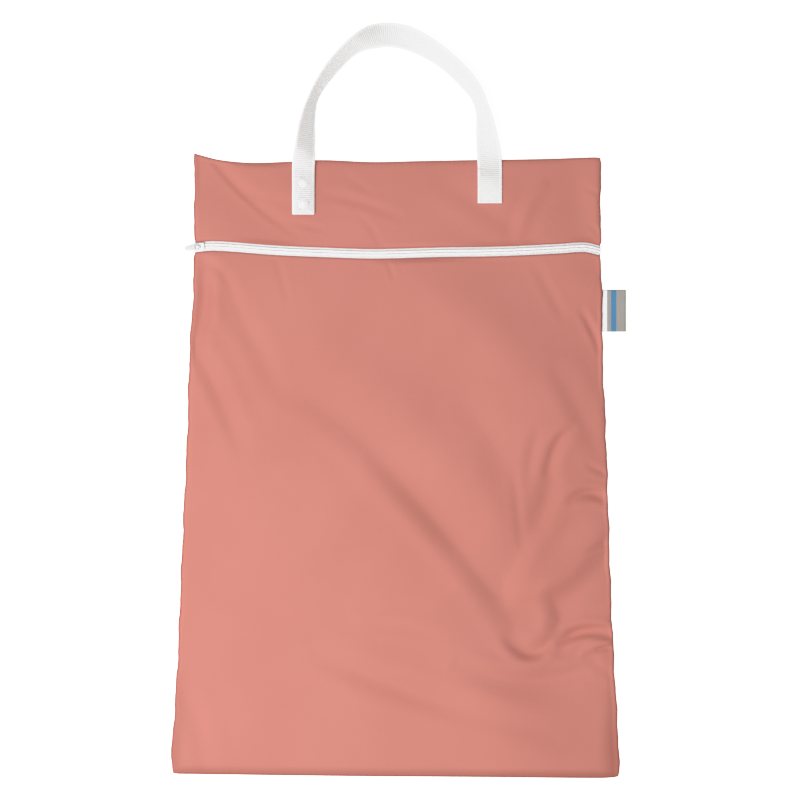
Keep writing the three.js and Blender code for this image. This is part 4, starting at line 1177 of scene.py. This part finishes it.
def sew(bm, path, point_at):
    """Stitches along a path of flat places, put on the surface by point_at."""
    for start, end in zip(path[:-1], path[1:]):
        a, b = np.array(start, float), np.array(end, float)
        span = float(np.linalg.norm(b - a))
        count = max(1, round(span / (STITCH + STITCH_GAP)))
        for i in range(count):
            spots = [lerp(a, b, (i + share) / count) for share in STITCH_SPOTS]
            p, m, q = (Vector([float(c) for c in point_at(*spot)]) for spot in spots)
            turn = (q - p).to_track_quat("X", "Z").to_matrix().to_4x4()
            reach = (q - p).length / 2 * STITCH_OVERLAP
            size = Matrix.Diagonal((reach, THREAD / 2, THREAD / 2, 1))
            place = Matrix.Translation(m * MM) @ turn @ Matrix.Scale(MM, 4) @ size
            bmesh.ops.create_uvsphere(bm, u_segments=STITCH_SIDES, v_segments=4, radius=1,
                                      matrix=place)


def on_webbing(length, across):
    return strap_point(np.float64(length), np.float64(across), np.float64(STRAP_THICK / 2))


bm = bmesh.new()
side = STRAP_WIDTH / 2 - BOX_INSET
near, far = STRAP_LENGTH - BOX_LENGTH - BOX_INSET, STRAP_LENGTH - BOX_INSET
sew(bm, [(near, -side), (far, -side), (far, side), (near, side), (near, -side)], on_webbing)
sew(bm, [(LEFT_ROW, -side), (LEFT_ROW, side)], on_webbing)
stitching = object_from(bm, "handle_stitching", [thread_white])
print("stitch faces:", len(stitching.data.polygons))

# %% [markdown]
# ## The snaps
# Two moulded snaps fasten the left leg. What shows is a shallow domed cap, pressed into the
# ribs, with a slightly raised middle. The profile, from the back disc inside the bag to the
# cap, is spun round.

# %% Snaps
SNAP_PITCH = 21.4
SNAP_DOWN = 23
SNAP_CAP = 12.4
CAP_DOME = 1.15
CAP_SEAT = -0.4  # pressed into the ribs
CAP_BUTTON = 0.3  # how far the cap's middle stands out of its dome
CAP_BUTTON_EDGE = (0.3, 0.55)
CAP_UNDER = 0.2
SNAP_BODY = 9
SNAP_BACK = 11
SNAP_BACK_HEIGHT = 1
SNAP_POST = 2.4
SNAP_SIDES = 40
CAP_RINGS = 14
SNAP_X = STRAP_SHIFT - STRAP_SPREAD / 2


def seat_on(x, y):
    """The place and lean of a piece that sits on the skin."""
    reach = SNAP_BODY / 2
    slope_x = float(skin_at(x + reach, y) - skin_at(x - reach, y)) / (2 * reach)
    slope_y = float(skin_at(x, y + reach) - skin_at(x, y - reach)) / (2 * reach)
    lean = Vector((0, 0, 1)).rotation_difference(Vector((-slope_x, -slope_y, 1)))
    spot = Vector((x, y, float(skin_at(x, y)))) * MM
    return Matrix.Translation(spot) @ lean.to_matrix().to_4x4()


def snap(name, y, node):
    low = -CLOTH - CLEARANCE - SNAP_BACK_HEIGHT
    cap_low = LEFT_OVER + STRAP_THICK + CAP_SEAT
    cap = SNAP_CAP / 2
    profile = [
        (0, low), (SNAP_BACK / 2, low), (SNAP_BACK / 2, low + SNAP_BACK_HEIGHT),
        (SNAP_POST / 2, low + SNAP_BACK_HEIGHT), (SNAP_POST / 2, CLEARANCE),
        (SNAP_BODY / 2, CLEARANCE), (SNAP_BODY / 2, CLEARANCE + SNAP_BODY_HEIGHT),
        (SNAP_POST / 2, CLEARANCE + SNAP_BODY_HEIGHT), (SNAP_POST / 2, cap_low),
        (cap * 0.97, cap_low - CAP_UNDER),
    ]
    profile += [(cap * share, cap_low + CAP_DOME * (1 - share**2) + CAP_BUTTON * float(
        1 - smoothstep(share, *CAP_BUTTON_EDGE))) for share in np.linspace(1, 0, CAP_RINGS)]
    bm = bmesh.new()
    line = [bm.verts.new((r * MM, 0, z * MM)) for r, z in profile]
    edges = [bm.edges.new(pair) for pair in zip(line[:-1], line[1:])]
    bmesh.ops.spin(bm, geom=line + edges, cent=(0, 0, 0), axis=(0, 0, 1), dvec=(0, 0, 0),
                   angle=math.tau, steps=SNAP_SIDES, use_merge=True)
    bmesh.ops.remove_doubles(bm, verts=bm.verts, dist=1e-7)
    bmesh.ops.recalc_face_normals(bm, faces=bm.faces)
    bmesh.ops.transform(bm, matrix=seat_on(SNAP_X, y), verts=bm.verts)
    piece = object_from(bm, name, [snap_resin])
    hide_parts(node)
    return piece


snap("snap_cap_upper", BAG_HEIGHT / 2 - SNAP_DOWN, "snap_upper")
snap("snap_cap_lower", BAG_HEIGHT / 2 - SNAP_DOWN - SNAP_PITCH, "snap_lower")

# %% [markdown]
# ## The side tag
# The tag is a satin ribbon folded over, with its two ends caught in the seam. Its front
# has a plain woven band as a generic motif. A grid is bent round the fold.

# %% Tag ribbon material
TAG_GREY = (0.36, 0.34, 0.31, 1)
TAG_DARK = (0.32, 0.30, 0.275, 1)
TAG_WHITE = (0.78, 0.79, 0.80, 1)
TAG_BAND = (0.06, 0.22, 0.42, 1)
TAG_WHITE_AT = (-0.02, 0.005)
TAG_BAND_AT = (0.009, 0.0145)
TAG_OUT = 24.5
TAG_IN = 6

ribbon, tree, shader = new_material(
    "tag_satin", Roughness=0.42, Sheen_Weight=0.1, Specular_IOR_Level=0.4)
parts = add(tree, "ShaderNodeSeparateXYZ", Vector=cloth_place(tree))


def between(low, high, soft=0.0002):
    """A mask along the ribbon's length, 1 between two places in metres."""
    rise = add(tree, "ShaderNodeMapRange", Value=parts.outputs["X"], From_Min=low - soft,
               From_Max=low + soft)
    fall = add(tree, "ShaderNodeMapRange", Value=parts.outputs["X"], From_Min=high - soft,
               From_Max=high + soft, To_Min=1.0, To_Max=0.0)
    return maths(tree, "MULTIPLY", rise.outputs["Result"], fall.outputs["Result"])


ground = use_group(tree, mottle_group, Place=solid_place(tree), Tone_A=TAG_GREY,
                   Tone_B=TAG_DARK, Patch=120.0, Speckle=2200.0,
                   Speckle_share=0.5)
near_seam = add(tree, "ShaderNodeMix", set_data_type="RGBA", _0=between(*TAG_WHITE_AT),
                _6=ground.outputs["Color"], _7=TAG_WHITE)
banded = add(tree, "ShaderNodeMix", set_data_type="RGBA", _0=between(*TAG_BAND_AT),
             _6=near_seam.outputs[2], _7=TAG_BAND)
tree.links.new(banded.outputs[2], shader.inputs["Base Color"])
yarns = use_group(tree, weave_group, Place=cloth_place(tree), Warp=0.0003, Weft=0.0004)
bump(tree, shader, yarns.outputs["Height"], 0.00005, 0.6)

# %% Tag
TAG_OPEN = 0.8
RIBBON_THICKNESS = 0.0004
TAG_TURNS = 60
TAG_SLATS = 30
TAG_MOUTH = 0.2  # share of its length over which the layers part
TAG_RIPPLE = 0.25
TAG_RIPPLES = 1.1
TAG_LIFT = 0.2


def ribbon_path(share):
    """The folded ribbon seen from its edge, out from the seam on top and back below."""
    low = CLOTH + CLEARANCE
    middle = low + TAG_LAYER / 2
    half = TAG_OPEN / 2 + TAG_LAYER * 0.7
    fold = TAG_OUT - half
    mouth = TAG_OUT * TAG_MOUTH
    spots = [(-TAG_IN, middle + 0.3), (0.3, middle + 0.35), (mouth, middle + half)]
    spots += [(lerp(mouth, fold, i / 10), middle + half) for i in range(1, 11)]
    spots += [(fold + half * math.sin(math.pi * i / 12), middle + half * math.cos(
        math.pi * i / 12)) for i in range(1, 12)]
    spots += [(lerp(fold, mouth, i / 10), middle - half) for i in range(0, 11)]
    spots += [(0.3, middle - 0.35), (-TAG_IN, middle - 0.3)]
    out, up = np.array(spots).T
    length = np.concatenate([[0], np.cumsum(np.hypot(np.diff(out), np.diff(up)))])
    at = share * length[-1]
    return np.interp(at, length, out), np.interp(at, length, up), at - TAG_IN


bm = bmesh.new()
bmesh.ops.create_grid(bm, x_segments=TAG_TURNS, y_segments=TAG_SLATS, size=1)
bm.verts.ensure_lookup_table()
share, down = grid_shares(bm)
out, up, flat = ribbon_path(share)
tag_y = BAG_HEIGHT / 2 - TAG_DOWN
tag_edge = float(right_x(down_at(1.0, tag_y)))
y = tag_y + TAG_HEIGHT * (0.5 - down)
wave = TAG_RIPPLE * np.sin(math.tau * TAG_RIPPLES * down) * smoothstep(out, 2, TAG_OUT)
move_points(bm, tag_edge + out, y, up + wave + TAG_LIFT)
set_flat_measure(bm, flat, y)
tag = object_from(bm, "tag_ribbon", [ribbon])
thicken(tag, RIBBON_THICKNESS)
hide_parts("side_tag")
print("tag faces:", len(tag.data.polygons))

# %% [markdown]
# ## The floor and the light
# The bag lies on a plain white light table, whose glow keeps shadows faint around it. One
# soft light stands on the left, a little towards the bottom, and gives the folds their
# shade. A wider one overhead and a pale surround fill the rest. The lights are near, so the
# cloth gets darker towards the upper right.

# %% Floor
FLOOR_SIZE = 8.0
TABLE_GLOW = 0.3
TABLE_GLOW_SEEN = 0.9  # what the camera sees of it besides
TABLE_WHITE = (0.95, 0.95, 0.95, 1)
TABLE_SHADE = (0.93, 0.93, 0.93, 1)

paper, tree, shader = new_material(
    "pale_floor", Roughness=0.8, Specular_IOR_Level=0.2, Emission_Strength=TABLE_GLOW,
    Emission_Color=(1, 1, 1, 1))
dye = use_group(tree, mottle_group, Place=solid_place(tree), Tone_A=TABLE_WHITE,
                Tone_B=TABLE_SHADE, Patch=3.0, Speckle=400.0, Speckle_share=0.4)
tree.links.new(dye.outputs["Color"], shader.inputs["Base Color"])
fine = add(tree, "ShaderNodeTexNoise", Vector=solid_place(tree), Scale=500.0, Detail=2.0)
bump(tree, shader, fine.outputs["Fac"], 0.0001, 0.3)

# The camera sees the table's glow brighter than it lights the bag
seen = add(tree, "ShaderNodeLightPath").outputs["Is Camera Ray"]
glow = add(tree, "ShaderNodeEmission", Strength=maths(
    tree, "MULTIPLY", seen, TABLE_GLOW_SEEN))
both = add(tree, "ShaderNodeAddShader", _0=shader.outputs["BSDF"], _1=glow.outputs[0])
surface = tree.nodes["Material Output"].inputs["Surface"]
tree.links.new(both.outputs[0], surface)
bm = bmesh.new()
bmesh.ops.create_grid(bm, x_segments=8, y_segments=8, size=FLOOR_SIZE / 2)
mesh = bpy.data.meshes.new("floor")
bm.to_mesh(mesh)
bm.free()
floor = bpy.data.objects.new("floor", mesh)
floor.data.materials.append(paper)
bpy.context.scene.collection.objects.link(floor)
floor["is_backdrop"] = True

# %% Lights


def area_light(name, place, size, power, colour=(1, 1, 1)):
    data = bpy.data.lights.new(name, "AREA")
    data.shape = "RECTANGLE"
    data.size, data.size_y = size
    data.energy = power
    data.color = colour
    light = bpy.data.objects.new(name, data)
    light.location = place
    light.rotation_mode = "QUATERNION"
    light.rotation_quaternion = (-Vector(place)).to_track_quat("-Z", "Y")
    bpy.context.scene.collection.objects.link(light)
    return light


area_light("key", (-1.0, -0.67, 1.9), (1.0, 1.0), 30, (1.0, 0.995, 1.03))
area_light("top", (-0.6, -0.1, 2.2), (1.4, 1.4), 22.5)
world = bpy.data.worlds.new("surround")
world.use_nodes = True
background = world.node_tree.nodes["Background"]
background.inputs["Color"].default_value = (1.0, 0.965, 0.9, 1)
background.inputs["Strength"].default_value = 0.34
bpy.context.scene.world = world

# %% [markdown]
# ### Highlights
# White webbing that faces the light is brighter than a screen can show. As on film, a curve
# keeps all tones up to the cloth's as they are and presses the whites above them together,
# so that the ribs still show. Each pair is the light that comes in and what is shown of it,
# where 1 is a plain white.

# %% The curve for whites
SHOULDER = [(0.37, 0.37), (0.74, 0.74), (0.83, 0.835), (0.92, 0.88), (1.05, 0.905),
            (1.2, 0.925), (1.4, 0.957), (1.6, 0.98)]
WHITE_LEVEL = 1.8
view = bpy.context.scene.view_settings
view.view_transform = "Standard"
view.use_curve_mapping = True
view.curve_mapping.white_level = (WHITE_LEVEL, WHITE_LEVEL, WHITE_LEVEL)
all_channels = view.curve_mapping.curves[3]
for light_in, light_out in SHOULDER:
    all_channels.points.new(light_in / WHITE_LEVEL, light_out)
for point in all_channels.points:
    point.handle_type = "VECTOR"
view.curve_mapping.update()

# %% [markdown]
# ## Sizes at the end
# The dressed bag has to stay in the solid model's box, apart from what cloth may stand
# proud. The solid's box is printed at the start, and how far the two differ at the end.

# %% Compare the boxes and finish
scene_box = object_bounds()
for axis, low, high in zip("xyz", scene_box[0] - cad_box[0], scene_box[1] - cad_box[1]):
    print(axis, "differs by, mm:", round(low / MM, 2), round(high / MM, 2))
